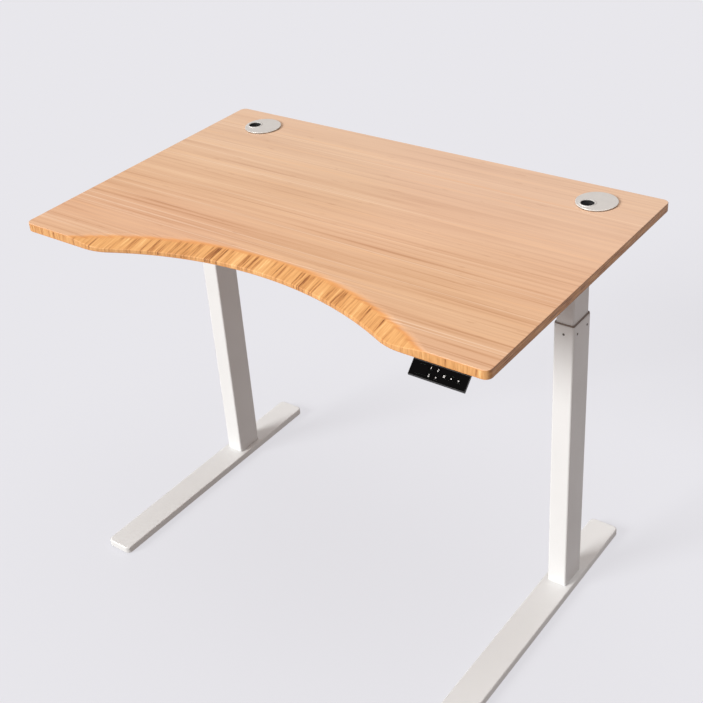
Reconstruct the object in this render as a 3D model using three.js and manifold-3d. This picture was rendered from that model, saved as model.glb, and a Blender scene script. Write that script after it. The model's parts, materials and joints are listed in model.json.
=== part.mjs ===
// Height adjustable standing desk: bamboo top with a scooped front edge, two lifting columns, flat feet.
// Millimetres, +Z up, +X to the user's right. The user sits on the -Y side, and the floor is z = 0.
import * as THREE from 'three';
import { mergeVertices } from 'three/addons/utils/BufferGeometryUtils.js';
import Module from 'manifold-3d';

const wasm = await Module();
wasm.setup();

// ---- Driving dimensions ----

const fitGap = 0.3;             // between two pieces that are fastened face to face
const runningGap = 0.4;         // round a piece that slides or turns in another
const roundSides = 24;          // facets of a full circle
const past = 1;                 // how far a cutter runs past what it cuts
const bite = 0.5;               // how far two joined solids run into each other

const top = { width: 1100, depth: 700, thickness: 19, cornerRadius: 14, height: 850 };
const scoop = { endInset: 170, depth: 86, shoulderRadius: 130, steps: 28 };
const bevel = { endInset: 104, depth: 136, shoulderRadius: 40, slope: 0.2, steps: 36 };

const grommet = {
  sideInset: 122, backInset: 74, holeRadius: 40, wall: 2, sleeveDepth: 17, flange: 1.5, brim: 1,
};
const cap = { overhang: 2.5, thickness: 1.8, skirtDepth: 5, skirtWall: 1.5 };
const cableHole = { radius: 14, rimWidth: 2.6, rimRise: 1.1, rimDrop: 5, skirtMargin: 0.2 };
const cableHoleTurn = { left: 194, right: 235 };

const column = { sideInset: 84, backInset: 242 };
const outerTube = { across: 44, deep: 70, wall: 1.5, corner: 5, length: 665 };
const innerTube = { wall: 1.5, corner: 4, length: 620 };
const glide = { wall: 0.9, sleeveDepth: 60, brimHeight: 2.6, brimInset: 0.5 };
const spindle = { radius: 8, length: 600, chamfer: 1, journalRadius: 4.8, journalLength: 14 };
const nutTube = { radius: 13, wall: 2.6, height: 595 };
const nut = { flangeRadius: 14, flangeHeight: 8, spigotDepth: 14 };
const basePlate = { thickness: 6 };

const foot = { width: 68, height: 16, frontReach: 464, rearReach: 204, wall: 2.5, endRadius: 10, edge: 2 };
const leveller = { padRadius: 15, padHeight: 2.6, padEdge: 1, studRadius: 4, studHeight: 9, endInset: 30 };

const bracket = {
  width: 60, height: 24, wall: 2.5, frontReach: 316, grommetClearance: 8, gearboxClearance: 8,
};
const topPlate = { across: 54, deep: 104, thickness: 6, corner: 6, outward: 3, boreRadius: 11 };
const gearbox = { outerHalf: 26, deep: 76, height: 28, corner: 8, innerReach: 90 };
const motor = { radius: 24, length: 80, shaftRadius: 4, shaftLength: 10, axisInset: 59 };
const motorCover = { across: 62, deep: 66, height: 94, wall: 2, corner: 8 };
const rail = { deep: 36, high: 20, wall: 1.5, corner: 3, offset: 78, middleLength: 560, lap: 90, drop: 4 };

const controlBox = { width: 180, deep: 88, height: 32, corner: 5, wall: 2, lidHeight: 2, drop: 1 };
const inlet = { width: 24, height: 18, depth: 16, wall: 2, pinRadius: 1.2, pinSpacing: 10, offset: 24 };
const plugOffset = 24;

const handset = { width: 110, face: 28, lip: 0.2, depth: 62, sideInset: 88, wall: 2, pocketDepth: 7 };
const handsetUnder = { noseBack: 1.5, noseDrop: 3.5, chin: 4, heel: 6, heelDrop: 15, backDrop: 11 };
const handsetTaper = { rim: 3, slope: 0.7 };
const facePlate = { thickness: 1, margin: 1, corner: 1.5 };
const display = { left: 4, width: 28, height: 17, thickness: 0.8 };
const key = { width: 9, height: 7, corner: 1, rise: 0.2, thickness: 2.4 };
const board = { thickness: 1.4, drop: 5 };
const keys = [
  { name: 'memory_1', along: 0.345, down: 0.27 },
  { name: 'memory_2', along: 0.467, down: 0.27 },
  { name: 'memory_3', along: 0.345, down: 0.73 },
  { name: 'memory_4', along: 0.467, down: 0.73 },
  { name: 'store', along: 0.593, down: 0.5 },
  { name: 'raise', along: 0.715, down: 0.5 },
  { name: 'lower', along: 0.838, down: 0.5 },
];

const lead = { radius: 2.6, sides: 8, handsetExit: 12 };

// ---- Sizes worked out from the driving ones ----

const frontEdge = -top.depth / 2;
const underside = top.height - top.thickness;
const columnX = top.width / 2 - column.sideInset;
const columnY = top.depth / 2 - column.backInset;
const footTop = leveller.padHeight + fitGap + foot.height;
const columnFoot = footTop + fitGap;
const outerTubeTop = columnFoot + outerTube.length;
const glideSpace = glide.wall + 2 * fitGap;
const innerAcross = outerTube.across - 2 * (outerTube.wall + glideSpace);
const innerDeep = outerTube.deep - 2 * (outerTube.wall + glideSpace);
const handsetReach = handset.face * Math.SQRT1_2 + handset.lip;
const displayX = display.left + display.width / 2 - handset.width / 2;
const bracketRearReach = column.backInset - grommet.backInset - grommet.holeRadius - bracket.grommetClearance;
const gearboxTop = -(bracket.wall + 2 * fitGap);
const gearboxFoot = gearboxTop - gearbox.height;
const topPlateFoot = gearboxFoot - fitGap - topPlate.thickness;
const innerTubeTop = topPlateFoot - fitGap;

// ---- Shapes and booleans ----

/** A closed three.js geometry as a manifold solid. */
function solid(geometry) {
  const bare = geometry.clone();
  bare.deleteAttribute('normal');
  bare.deleteAttribute('uv');
  const merged = mergeVertices(bare, 1e-4);
  const triVerts = new Uint32Array(merged.index.array);
  const vertProperties = new Float32Array(merged.attributes.position.array);
  return new wasm.Manifold(new wasm.Mesh({ numProp: 3, vertProperties, triVerts }));
}

/** A manifold solid as a three.js geometry. */
function geometryOf(body) {
  const mesh = body.getMesh();
  const geometry = new THREE.BufferGeometry();
  geometry.setAttribute('position', new THREE.BufferAttribute(mesh.vertProperties, 3));
  geometry.setIndex(new THREE.BufferAttribute(mesh.triVerts, 1));
  geometry.computeVertexNormals();
  return geometry;
}

function cut(geometry, ...tools) {
  return geometryOf(tools.reduce((body, tool) => body.subtract(solid(tool)), solid(geometry)));
}

function join(geometry, ...others) {
  return geometryOf(others.reduce((body, other) => body.add(solid(other)), solid(geometry)));
}

/** A box centred on x and y, from z = low up to z = low + height. */
function block(across, deep, height, low = 0) {
  return new THREE.BoxGeometry(across, deep, height).translate(0, 0, low + height / 2);
}

/** An upright cylinder from z = low up to z = low + height. */
function post(radius, height, low = 0, sides = roundSides) {
  const geometry = new THREE.CylinderGeometry(radius, radius, height, sides);
  return geometry.rotateX(Math.PI / 2).translate(0, 0, low + height / 2);
}

/** An upright ring from z = low up to z = low + height. */
function ring(outer, inner, height, low = 0) {
  const profile = [[inner, low], [outer, low], [outer, low + height], [inner, low + height], [inner, low]];
  return lathe(profile);
}

/** A (radius, z) profile turned about Z. */
function lathe(profile, sides = roundSides) {
  const points = profile.map(([radius, z]) => new THREE.Vector2(radius, z));
  return new THREE.LatheGeometry(points, sides).rotateX(Math.PI / 2);
}

/** A rectangle with round corners, centred on the origin. */
function roundRectangle(across, deep, radius, path = new THREE.Shape()) {
  const x = across / 2;
  const y = deep / 2;
  path.moveTo(-x + radius, -y);
  path.lineTo(x - radius, -y);
  path.absarc(x - radius, -y + radius, radius, -Math.PI / 2, 0, false);
  path.lineTo(x, y - radius);
  path.absarc(x - radius, y - radius, radius, 0, Math.PI / 2, false);
  path.lineTo(-x + radius, y);
  path.absarc(-x + radius, y - radius, radius, Math.PI / 2, Math.PI, false);
  path.lineTo(-x, -y + radius);
  path.absarc(-x + radius, -y + radius, radius, Math.PI, 1.5 * Math.PI, false);
  return path;
}

/** An outline in XY pulled straight up from z = low. */
function prism(shape, height, low = 0, curveSegments = 2) {
  const geometry = new THREE.ExtrudeGeometry(shape, { depth: height, bevelEnabled: false, curveSegments });
  return geometry.translate(0, 0, low);
}

/** A straight tube of rectangular section with round corners, standing on z = low. */
function rectangularTube(across, deep, corner, wall, length, low = 0) {
  const shape = roundRectangle(across, deep, corner);
  const innerCorner = Math.max(corner - wall, 0.5);
  shape.holes.push(roundRectangle(across - 2 * wall, deep - 2 * wall, innerCorner, new THREE.Path()));
  return prism(shape, length, low);
}

/** A section in YZ, given as [y, z] points, pulled along X and centred on x = 0. */
function crosswise(section, width) {
  const shape = new THREE.Shape(section.map(([y, z]) => new THREE.Vector2(y, z)));
  const geometry = new THREE.ExtrudeGeometry(shape, { depth: width, bevelEnabled: false });
  // The shape's x becomes Y, its y becomes Z and the pull becomes X.
  const turn = new THREE.Matrix4().makeBasis(
    new THREE.Vector3(0, 1, 0), new THREE.Vector3(0, 0, 1), new THREE.Vector3(1, 0, 0));
  return geometry.applyMatrix4(turn).translate(-width / 2, 0, 0);
}

/** A round cable along a smooth curve through the given [x, y, z] points. */
function cable(points, steps) {
  const section = new THREE.Shape();
  section.absarc(0, 0, lead.radius, 0, 2 * Math.PI, false);
  const knots = points.map((point) => new THREE.Vector3(...point));
  const path = new THREE.CatmullRomCurve3(knots, false, 'centripetal');
  return new THREE.ExtrudeGeometry(section, {
    extrudePath: path, steps, bevelEnabled: false, curveSegments: lead.sides / 2,
  });
}

// ---- Materials ----

const finish = {
  bamboo: new THREE.MeshStandardMaterial({ color: 0xe8b98f, roughness: 0.45, metalness: 0 }),
  whiteSteel: new THREE.MeshStandardMaterial({ color: 0xefedee, roughness: 0.5, metalness: 0 }),
  silver: new THREE.MeshStandardMaterial({ color: 0xc4c6ca, roughness: 0.32, metalness: 0.9 }),
  blackPlastic: new THREE.MeshStandardMaterial({ color: 0x191a1d, roughness: 0.5, metalness: 0 }),
  glossBlack: new THREE.MeshStandardMaterial({ color: 0x0b0b0d, roughness: 0.12, metalness: 0 }),
  greyPlastic: new THREE.MeshStandardMaterial({ color: 0x6f6a68, roughness: 0.6, metalness: 0 }),
  nylon: new THREE.MeshStandardMaterial({ color: 0xe6e1d2, roughness: 0.6, metalness: 0 }),
  steel: new THREE.MeshStandardMaterial({ color: 0x9a9ca0, roughness: 0.35, metalness: 1 }),
  castAluminium: new THREE.MeshStandardMaterial({ color: 0xa9abae, roughness: 0.55, metalness: 0.9 }),
  circuitBoard: new THREE.MeshStandardMaterial({ color: 0x1f5a38, roughness: 0.5, metalness: 0 }),
  cableJacket: new THREE.MeshStandardMaterial({ color: 0x17181a, roughness: 0.6, metalness: 0 }),
};

function addPiece(parent, name, geometry, material, [x, y, z] = [0, 0, 0]) {
  const mesh = new THREE.Mesh(geometry, material);
  mesh.name = name;
  mesh.position.set(x, y, z);
  parent.add(mesh);
}

// ---- Desktop ----

/**
 * A scoop in the front edge: one wide arc, run into the straight edge by a shoulder arc at each end.
 * The shoulder leaves the straight edge at x = end, and the wide arc is deepest at x = 0.
 */
function scoopArcs({ endInset, depth, shoulderRadius }) {
  const end = top.width / 2 - endInset;
  const centreDistance = (end * end + depth * depth) / (2 * depth);
  const radius = centreDistance - shoulderRadius;
  const centreY = frontEdge + depth - radius;
  const shoulderY = frontEdge + shoulderRadius;
  const lean = Math.atan2(centreY - shoulderY, end);
  return { end, radius, centreY, shoulderRadius, shoulderY, lean, meet: radius * Math.cos(lean) };
}

/** The y of a scoop's edge at a given x. */
function scoopEdge(arcs, x) {
  const along = Math.abs(x);
  if (along <= arcs.meet) {
    return arcs.centreY + Math.sqrt(arcs.radius ** 2 - along ** 2);
  }
  if (along <= arcs.end) {
    return arcs.shoulderY - Math.sqrt(arcs.shoulderRadius ** 2 - (arcs.end - along) ** 2);
  }
  return frontEdge;
}

function desktopOutline() {
  const x = top.width / 2;
  const y = top.depth / 2;
  const corner = top.cornerRadius;
  const arcs = scoopArcs(scoop);
  const shape = new THREE.Shape();
  shape.moveTo(-x + corner, frontEdge);
  for (let step = 0; step <= scoop.steps; step += 1) {
    const along = arcs.end * (2 * step / scoop.steps - 1);
    shape.lineTo(along, scoopEdge(arcs, along));
  }
  shape.lineTo(x - corner, frontEdge);
  shape.absarc(x - corner, frontEdge + corner, corner, -Math.PI / 2, 0, false);
  shape.lineTo(x, y - corner);
  shape.absarc(x - corner, y - corner, corner, 0, Math.PI / 2, false);
  shape.lineTo(-x + corner, y);
  shape.absarc(-x + corner, y - corner, corner, Math.PI / 2, Math.PI, false);
  shape.lineTo(-x, frontEdge + corner);
  shape.absarc(-x + corner, frontEdge + corner, corner, Math.PI, 1.5 * Math.PI, false);
  return shape;
}

/** The wedge that planes the wide sloping bevel along the scoop, thinning out to nothing at both ends. */
function bevelCutter() {
  const upper = scoopArcs(bevel);
  const lower = scoopArcs(scoop);
  const clear = 4 * past;
  const positions = [];
  for (let step = 0; step <= bevel.steps; step += 1) {
    const x = upper.end * (2 * step / bevel.steps - 1);
    const back = scoopEdge(upper, x);
    const front = Math.min(scoopEdge(lower, x), back) - clear;
    const drop = bevel.slope * (back - front);
    positions.push(x, back, top.thickness);
    positions.push(x, front, top.thickness - drop);
    positions.push(x, front, top.thickness + clear);
    positions.push(x, back, top.thickness + clear);
  }
  const index = [0, 1, 2, 0, 2, 3];
  for (let step = 0; step < bevel.steps; step += 1) {
    for (let side = 0; side < 4; side += 1) {
      const a = 4 * step + side;
      const b = 4 * step + (side + 1) % 4;
      index.push(a, a + 4, b, b, a + 4, b + 4);
    }
  }
  const last = 4 * bevel.steps;
  index.push(last, last + 2, last + 1, last, last + 3, last + 2);
  const geometry = new THREE.BufferGeometry();
  geometry.setAttribute('position', new THREE.Float32BufferAttribute(positions, 3));
  geometry.setIndex(index);
  return geometry;
}

function desktopGeometry() {
  const board = prism(desktopOutline(), top.thickness, 0, 5);
  const holeX = top.width / 2 - grommet.sideInset;
  const holeY = top.depth / 2 - grommet.backInset;
  const drill = post(grommet.holeRadius, top.thickness + 2 * past, -past, 40);
  const holes = [-1, 1].map((side) => drill.clone().translate(side * holeX, holeY, 0));
  return cut(board, bevelCutter(), ...holes);
}

// ---- Cable grommets ----

function grommetSleeveGeometry() {
  const outer = grommet.holeRadius - fitGap;
  const inner = outer - grommet.wall;
  return lathe([
    [inner, fitGap - grommet.sleeveDepth],
    [outer, fitGap - grommet.sleeveDepth],
    [outer, fitGap],
    [grommet.holeRadius + grommet.flange, fitGap],
    [grommet.holeRadius + grommet.flange, fitGap + grommet.brim],
    [inner, fitGap + grommet.brim],
    [inner, fitGap - grommet.sleeveDepth],
  ]);
}

/** A round cap that turns in the sleeve, with an off-centre hole for the cables inside a raised rim. */
function grommetCapGeometry(turn) {
  const low = 2 * fitGap + grommet.brim;
  const high = low + cap.thickness;
  const skirt = grommet.holeRadius - fitGap - grommet.wall - runningGap;
  const disc = post(grommet.holeRadius + cap.overhang, cap.thickness, low, 40);
  const skirtRing = ring(skirt, skirt - cap.skirtWall, cap.skirtDepth + bite, low - cap.skirtDepth);
  const rimOuter = cableHole.radius + cableHole.rimWidth;
  const offset = skirt - rimOuter - cableHole.skirtMargin;
  const x = offset * Math.cos(THREE.MathUtils.degToRad(turn));
  const y = offset * Math.sin(THREE.MathUtils.degToRad(turn));
  const rim = post(rimOuter, high - low + cableHole.rimRise + cableHole.rimDrop, low - cableHole.rimDrop);
  const hole = post(cableHole.radius, 3 * cap.skirtDepth + high, low - 2 * cap.skirtDepth);
  return cut(join(disc, skirtRing, rim.translate(x, y, 0)), hole.translate(x, y, 0));
}

// ---- Lifting columns ----

function glideCollarGeometry() {
  const across = outerTube.across - 2 * (outerTube.wall + fitGap);
  const deep = outerTube.deep - 2 * (outerTube.wall + fitGap);
  const corner = outerTube.corner - outerTube.wall - fitGap;
  const { wall, sleeveDepth } = glide;
  const sleeve = rectangularTube(across, deep, corner, wall, sleeveDepth + past, -sleeveDepth);
  const step = 2 * glide.brimInset;
  const brim = roundRectangle(outerTube.across - step, outerTube.deep - step, outerTube.corner - step / 2);
  const mouth = { across: across - 2 * wall, deep: deep - 2 * wall, corner: corner - wall };
  brim.holes.push(roundRectangle(mouth.across, mouth.deep, mouth.corner, new THREE.Path()));
  return join(sleeve, prism(brim, glide.brimHeight, fitGap));
}

function spindleGeometry() {
  const { radius, length, chamfer, journalRadius, journalLength } = spindle;
  const shank = length - journalLength;
  return lathe([
    [0, 0],
    [radius - chamfer, 0],
    [radius, chamfer],
    [radius, shank],
    [journalRadius, shank],
    [journalRadius, length],
    [0, length],
  ], 20);
}

function spindleNutGeometry() {
  const bore = spindle.radius + runningGap;
  const spigot = nutTube.radius - nutTube.wall - fitGap;
  return lathe([
    [bore, -nut.spigotDepth],
    [spigot, -nut.spigotDepth],
    [spigot, fitGap],
    [nut.flangeRadius, fitGap],
    [nut.flangeRadius, fitGap + nut.flangeHeight],
    [bore, fitGap + nut.flangeHeight],
    [bore, -nut.spigotDepth],
  ], 24);
}

function addLowerColumn(group, hand) {
  const { across, deep, corner, wall, length } = outerTube;
  const tube = rectangularTube(across, deep, corner, wall, length);
  addPiece(group, `outer_tube_${hand}`, tube, finish.whiteSteel, [0, 0, columnFoot]);
  addPiece(group, `glide_collar_${hand}`, glideCollarGeometry(), finish.greyPlastic, [0, 0, outerTubeTop]);
  const step = 2 * (wall + fitGap);
  const plate = prism(roundRectangle(across - step, deep - step, corner), basePlate.thickness);
  addPiece(group, `base_plate_${hand}`, plate, finish.steel, [0, 0, columnFoot]);
  const nutTubeFoot = columnFoot + basePlate.thickness + fitGap;
  const riser = ring(nutTube.radius, nutTube.radius - nutTube.wall, nutTube.height);
  addPiece(group, `nut_tube_${hand}`, riser, finish.steel, [0, 0, nutTubeFoot]);
  const nutFoot = nutTubeFoot + nutTube.height;
  addPiece(group, `spindle_nut_${hand}`, spindleNutGeometry(), finish.nylon, [0, 0, nutFoot]);
}

// ---- Feet ----

/** A pressed steel foot: a shallow channel, open underneath, with rounded ends and a softened top edge. */
function footGeometry() {
  const length = foot.frontReach + foot.rearReach;
  const { width, edge, wall, endRadius } = foot;
  const outline = roundRectangle(width - 2 * edge, length - 2 * edge, endRadius - edge);
  const shell = new THREE.ExtrudeGeometry(outline, {
    depth: foot.height - edge,
    bevelEnabled: true,
    bevelThickness: edge,
    bevelSize: edge,
    bevelSegments: 2,
    curveSegments: 3,
  });
  const hollow = roundRectangle(width - 2 * wall, length - 2 * wall, endRadius - wall);
  const trimmed = cut(shell, block(width + 2 * past, length + 2 * past, edge + past, -edge - past));
  return cut(trimmed, prism(hollow, foot.height - wall + past, -past));
}

function levellerGeometry() {
  return lathe([
    [0, 0],
    [leveller.padRadius, 0],
    [leveller.padRadius, leveller.padHeight - leveller.padEdge],
    [leveller.padRadius - leveller.padEdge, leveller.padHeight],
    [leveller.studRadius, leveller.padHeight],
    [leveller.studRadius, leveller.padHeight + leveller.studHeight],
    [0, leveller.padHeight + leveller.studHeight],
  ], 18);
}

function addFoot(group, hand) {
  const middle = (foot.rearReach - foot.frontReach) / 2;
  addPiece(group, `foot_${hand}`, footGeometry(), finish.whiteSteel, [0, middle, footTop - foot.height]);
  const frontY = leveller.endInset - foot.frontReach;
  const rearY = foot.rearReach - leveller.endInset;
  addPiece(group, `leveller_front_${hand}`, levellerGeometry(), finish.blackPlastic, [0, frontY, 0]);
  addPiece(group, `leveller_rear_${hand}`, levellerGeometry(), finish.blackPlastic, [0, rearY, 0]);
}

// ---- Column heads: what hangs under the desktop on each side ----

/** A folded steel channel under the desktop, its lips cut away where the gearbox passes through. */
function bracketGeometry() {
  const length = bracket.frontReach + bracketRearReach;
  const middle = (bracketRearReach - bracket.frontReach) / 2;
  const { width, height, wall } = bracket;
  const channel = cut(
    block(width, length, height, -height),
    block(width - 2 * wall, length + 2 * past, height, -height - wall),
  ).translate(0, middle, 0);
  const passageLength = gearbox.deep + 2 * bracket.gearboxClearance;
  const passage = block(width + 2 * past, passageLength, height, -height - wall);
  return cut(channel, passage).translate(0, 0, -fitGap);
}

/** The gearbox casting, with a bore for the spindle's journal and one for the motor's shaft. */
function gearboxGeometry(inward) {
  const across = gearbox.outerHalf + gearbox.innerReach;
  const middle = inward * (gearbox.innerReach - gearbox.outerHalf) / 2;
  const outline = roundRectangle(across, gearbox.deep, gearbox.corner);
  const casting = prism(outline, gearbox.height, gearboxFoot).translate(middle, 0, 0);
  const low = gearboxFoot - past;
  const spindleBore = post(spindle.journalRadius + runningGap, spindle.journalLength + 2 * past, low, 20);
  const shaftBore = post(motor.shaftRadius + runningGap, motor.shaftLength + 3 * past, low, 16);
  return cut(casting, spindleBore, shaftBore.translate(inward * motor.axisInset, 0, 0));
}

function motorGeometry() {
  const can = post(motor.radius, motor.length, -motor.length);
  return join(can, post(motor.shaftRadius, motor.shaftLength + bite, -bite, 16));
}

function motorCoverGeometry() {
  const { across, deep, height, wall, corner } = motorCover;
  const shell = prism(roundRectangle(across, deep, corner), height, -height);
  const inside = roundRectangle(across - 2 * wall, deep - 2 * wall, corner - wall);
  return cut(shell, prism(inside, height, wall - height));
}

/** The plate on top of the inner tube, set a little outward, with its bore on the column's own axis. */
function topPlateGeometry(inward) {
  const { across, deep, thickness, corner, outward, boreRadius } = topPlate;
  const plate = prism(roundRectangle(across, deep, corner), thickness, topPlateFoot);
  const bore = post(boreRadius, thickness + 2 * past, topPlateFoot - past);
  return cut(plate.translate(-inward * outward, 0, 0), bore);
}

function addColumnHead(group, hand, inward) {
  addPiece(group, `side_bracket_${hand}`, bracketGeometry(), finish.whiteSteel);
  addPiece(group, `gearbox_${hand}`, gearboxGeometry(inward), finish.castAluminium);
  addPiece(group, `top_plate_${hand}`, topPlateGeometry(inward), finish.steel);
  const tube = rectangularTube(innerAcross, innerDeep, innerTube.corner, innerTube.wall, innerTube.length);
  addPiece(group, `inner_tube_${hand}`, tube, finish.whiteSteel, [0, 0, innerTubeTop - innerTube.length]);
  const spindleFoot = gearboxFoot + spindle.journalLength - fitGap - spindle.length;
  addPiece(group, `spindle_${hand}`, spindleGeometry(), finish.steel, [0, 0, spindleFoot]);
  const motorPlace = [inward * motor.axisInset, 0, gearboxFoot - fitGap];
  addPiece(group, `motor_${hand}`, motorGeometry(), finish.steel, motorPlace);
  addPiece(group, `motor_cover_${hand}`, motorCoverGeometry(), finish.blackPlastic, motorPlace);
}

// ---- Crossbars ----

function addCrossbar(group, place, y) {
  const z = -rail.drop - rail.high / 2;
  const lieAlongX = (geometry) => geometry.rotateY(Math.PI / 2);
  const { high, deep, wall, corner, middleLength } = rail;
  const middle = rectangularTube(high, deep, corner, wall, middleLength, -middleLength / 2);
  addPiece(group, `crossbar_${place}`, lieAlongX(middle), finish.whiteSteel, [0, y, z]);
  const step = 2 * (rail.wall + fitGap);
  const outerEnd = columnX - bracket.width / 2 - fitGap;
  const innerEnd = rail.middleLength / 2 - rail.lap;
  const length = outerEnd - innerEnd;
  for (const [hand, side] of [['left', -1], ['right', 1]]) {
    const end = rectangularTube(high - step, deep - step, corner - wall, wall, length, -length / 2);
    const x = side * (outerEnd + innerEnd) / 2;
    addPiece(group, `crossbar_${place}_end_${hand}`, lieAlongX(end), finish.whiteSteel, [x, y, z]);
  }
}

// ---- Control box ----

/** The mains socket, drawn facing +Y: a box with a recess and two contact pins standing in it. */
function mainsInletGeometry() {
  const { width, height, depth, wall } = inlet;
  const body = block(width, depth, height).translate(0, depth / 2, 0);
  const recess = block(width - 2 * wall, depth, height - 2 * wall, wall).translate(0, depth / 2 + wall, 0);
  const pinLength = depth - 2 * wall;
  const pins = [-1, 1].map((side) => post(inlet.pinRadius, pinLength, 0, 12)
    .rotateX(-Math.PI / 2).translate(side * inlet.pinSpacing / 2, wall / 2, height / 2));
  return join(cut(body, recess), ...pins);
}

function addControlBox(group) {
  const { width, deep, height, corner, wall, lidHeight } = controlBox;
  const low = -controlBox.drop - lidHeight - fitGap - height;
  const inletLow = (height - inlet.height) / 2;
  const window = block(4 * wall, inlet.width + 2 * fitGap, inlet.height + 2 * fitGap, inletLow - fitGap);
  const shell = cut(
    prism(roundRectangle(width, deep, corner), height),
    prism(roundRectangle(width - 2 * wall, deep - 2 * wall, corner - wall), height, wall),
    window.translate(-width / 2, inlet.offset, 0),
  );
  addPiece(group, 'control_box_case', shell, finish.blackPlastic, [0, columnY, low]);
  const lid = prism(roundRectangle(width, deep, corner), lidHeight);
  addPiece(group, 'control_box_lid', lid, finish.blackPlastic, [0, columnY, low + height + fitGap]);
  const socket = mainsInletGeometry().rotateZ(Math.PI / 2);
  const place = [inlet.depth - width / 2, columnY + inlet.offset, low + inletLow];
  addPiece(group, 'mains_inlet', socket, finish.blackPlastic, place);
}

// ---- Handset ----

function handsetCaseGeometry() {
  const { depth, width, wall, pocketDepth, face } = handset;
  const reach = handsetReach;
  const { noseBack, noseDrop, chin, heel, heelDrop, backDrop } = handsetUnder;
  const wedge = crosswise([
    [0, -fitGap], [-reach, -reach - fitGap], [-reach + noseBack, -reach - noseDrop], [chin, -reach - chin],
    [depth - heel, -heelDrop], [depth, -backDrop], [depth, -fitGap],
  ], width);
  const rim = 2 * facePlate.margin - 2 * fitGap;
  const faceCut = block(width - rim, face - rim, pocketDepth, -facePlate.thickness - fitGap);
  const pocketLow = -pocketDepth - facePlate.thickness;
  const pocket = block(width - 6 * wall, face - 3 * wall, pocketDepth + 2 * past, pocketLow);
  const ends = [-1, 1].map((side) => onFace(handsetEndCutter(side)));
  return cut(wedge, onFace(faceCut), onFace(pocket), ...ends);
}

/** What slopes off one end of the handset's case behind its rim, so that the case narrows backwards. */
function handsetEndCutter(side) {
  const { rim, slope } = handsetTaper;
  const half = handset.width / 2;
  const run = handset.depth + handset.face;
  const back = -rim - run;
  const section = [[half, -rim], [half - slope * run, back], [half + past, back], [half + past, -rim]];
  const onThisSide = section.map(([x, z]) => [side * x, z]);
  return crosswise(onThisSide, 2 * run).rotateZ(-Math.PI / 2);
}

/** Carries a piece drawn flat on XY, facing +Z, onto the handset's sloping face. */
function onFace(geometry) {
  return geometry.rotateX(Math.PI / 4).translate(0, -handsetReach / 2, -handsetReach / 2 - fitGap);
}

/** The place of a key on the face, from its share of the width and of the height. */
function keyPlace({ along, down }) {
  return [handset.width * (along - 0.5), handset.face * (0.5 - down)];
}

function facePlateGeometry() {
  const width = handset.width - 2 * facePlate.margin;
  const height = handset.face - 2 * facePlate.margin;
  const { thickness, corner } = facePlate;
  const plate = prism(roundRectangle(width, height, corner), thickness, -thickness);
  const holes = keys.map((item) => {
    const [x, y] = keyPlace(item);
    const across = key.width + 2 * runningGap;
    const high = key.height + 2 * runningGap;
    const outline = roundRectangle(across, high, key.corner + runningGap);
    return prism(outline, thickness + 2 * past, -thickness - past, 1).translate(x, y, 0);
  });
  const clear = 2 * fitGap;
  const opening = block(display.width + clear, display.height + clear, 4 * thickness, -2 * thickness);
  return cut(plate, opening.translate(displayX, 0, 0), ...holes);
}

function addHandset(group) {
  const x = top.width / 2 - handset.sideInset;
  const place = [x, frontEdge, 0];
  addPiece(group, 'handset_case', handsetCaseGeometry(), finish.blackPlastic, place);
  addPiece(group, 'handset_face', onFace(facePlateGeometry()), finish.glossBlack, place);
  const window = block(display.width, display.height, display.thickness, -display.thickness);
  addPiece(group, 'handset_display', onFace(window.translate(displayX, 0, 0)), finish.glossBlack, place);
  const boardLow = -facePlate.thickness - board.drop;
  const boardMargin = 4 * handset.wall;
  const circuit = block(
    handset.width - 2 * boardMargin, handset.face - boardMargin, board.thickness, boardLow);
  addPiece(group, 'handset_board', onFace(circuit), finish.circuitBoard, place);
  for (const item of keys) {
    const [keyX, keyY] = keyPlace(item);
    const outline = roundRectangle(key.width, key.height, key.corner);
    const button = prism(outline, key.thickness, key.rise - key.thickness, 1);
    addPiece(group, `key_${item.name}`, onFace(button.translate(keyX, keyY, 0)), finish.glossBlack, place);
  }
}

// ---- Leads held under the desktop ----

function addLeads(group) {
  const boxEnd = controlBox.width / 2 + fitGap;
  const coverSide = columnX - motor.axisInset - motorCover.across / 2 - fitGap;
  for (const [hand, side] of [['left', -1], ['right', 1]]) {
    const route = [
      [coverSide, 0, -58], [coverSide - 8, 0, -58], [coverSide - 26, 2, -36], [coverSide - 48, 4, -18],
      [coverSide - 90, 5, -13], [boxEnd + 60, 3, -14], [boxEnd + 12, 0, -18], [boxEnd, 0, -18],
    ].map(([x, y, z]) => [side * x, columnY + y, z]);
    addPiece(group, `motor_lead_${hand}`, cable(route, 26), finish.cableJacket);
  }
  const handsetX = top.width / 2 - handset.sideInset;
  const exitX = handsetX - lead.handsetExit;
  const handsetBack = frontEdge + handset.depth + fitGap;
  const underRail = -rail.drop - rail.high - lead.radius - 2;
  const railFront = columnY - rail.offset - rail.deep / 2;
  const railBack = columnY - rail.offset + rail.deep / 2;
  const plugY = columnY - plugOffset;
  const route = [
    [exitX, handsetBack, -6], [exitX, handsetBack + 12, -6],
    [exitX - 40, handsetBack + 40, -5], [exitX - 138, handsetBack + 92, -5],
    [boxEnd + 90, railFront - 70, -5], [boxEnd + 50, railFront - 30, -11],
    [boxEnd + 45, railFront - 9, underRail], [boxEnd + 40, railBack + 8, underRail],
    [boxEnd + 28, plugY - 4, -24], [boxEnd + 12, plugY, -22], [boxEnd, plugY, -22],
  ];
  addPiece(group, 'handset_lead', cable(route, 40), finish.cableJacket);
}

// ---- The desk ----

const desk = new THREE.Group();
// The handset stands proud of the front edge, so this puts the origin under the middle of the whole desk.
desk.position.y = handsetReach / 2;

const surface = new THREE.Group();
surface.position.z = top.height;
desk.add(surface);
const carriage = new THREE.Group();
carriage.position.z = underside;
desk.add(carriage);

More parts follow.
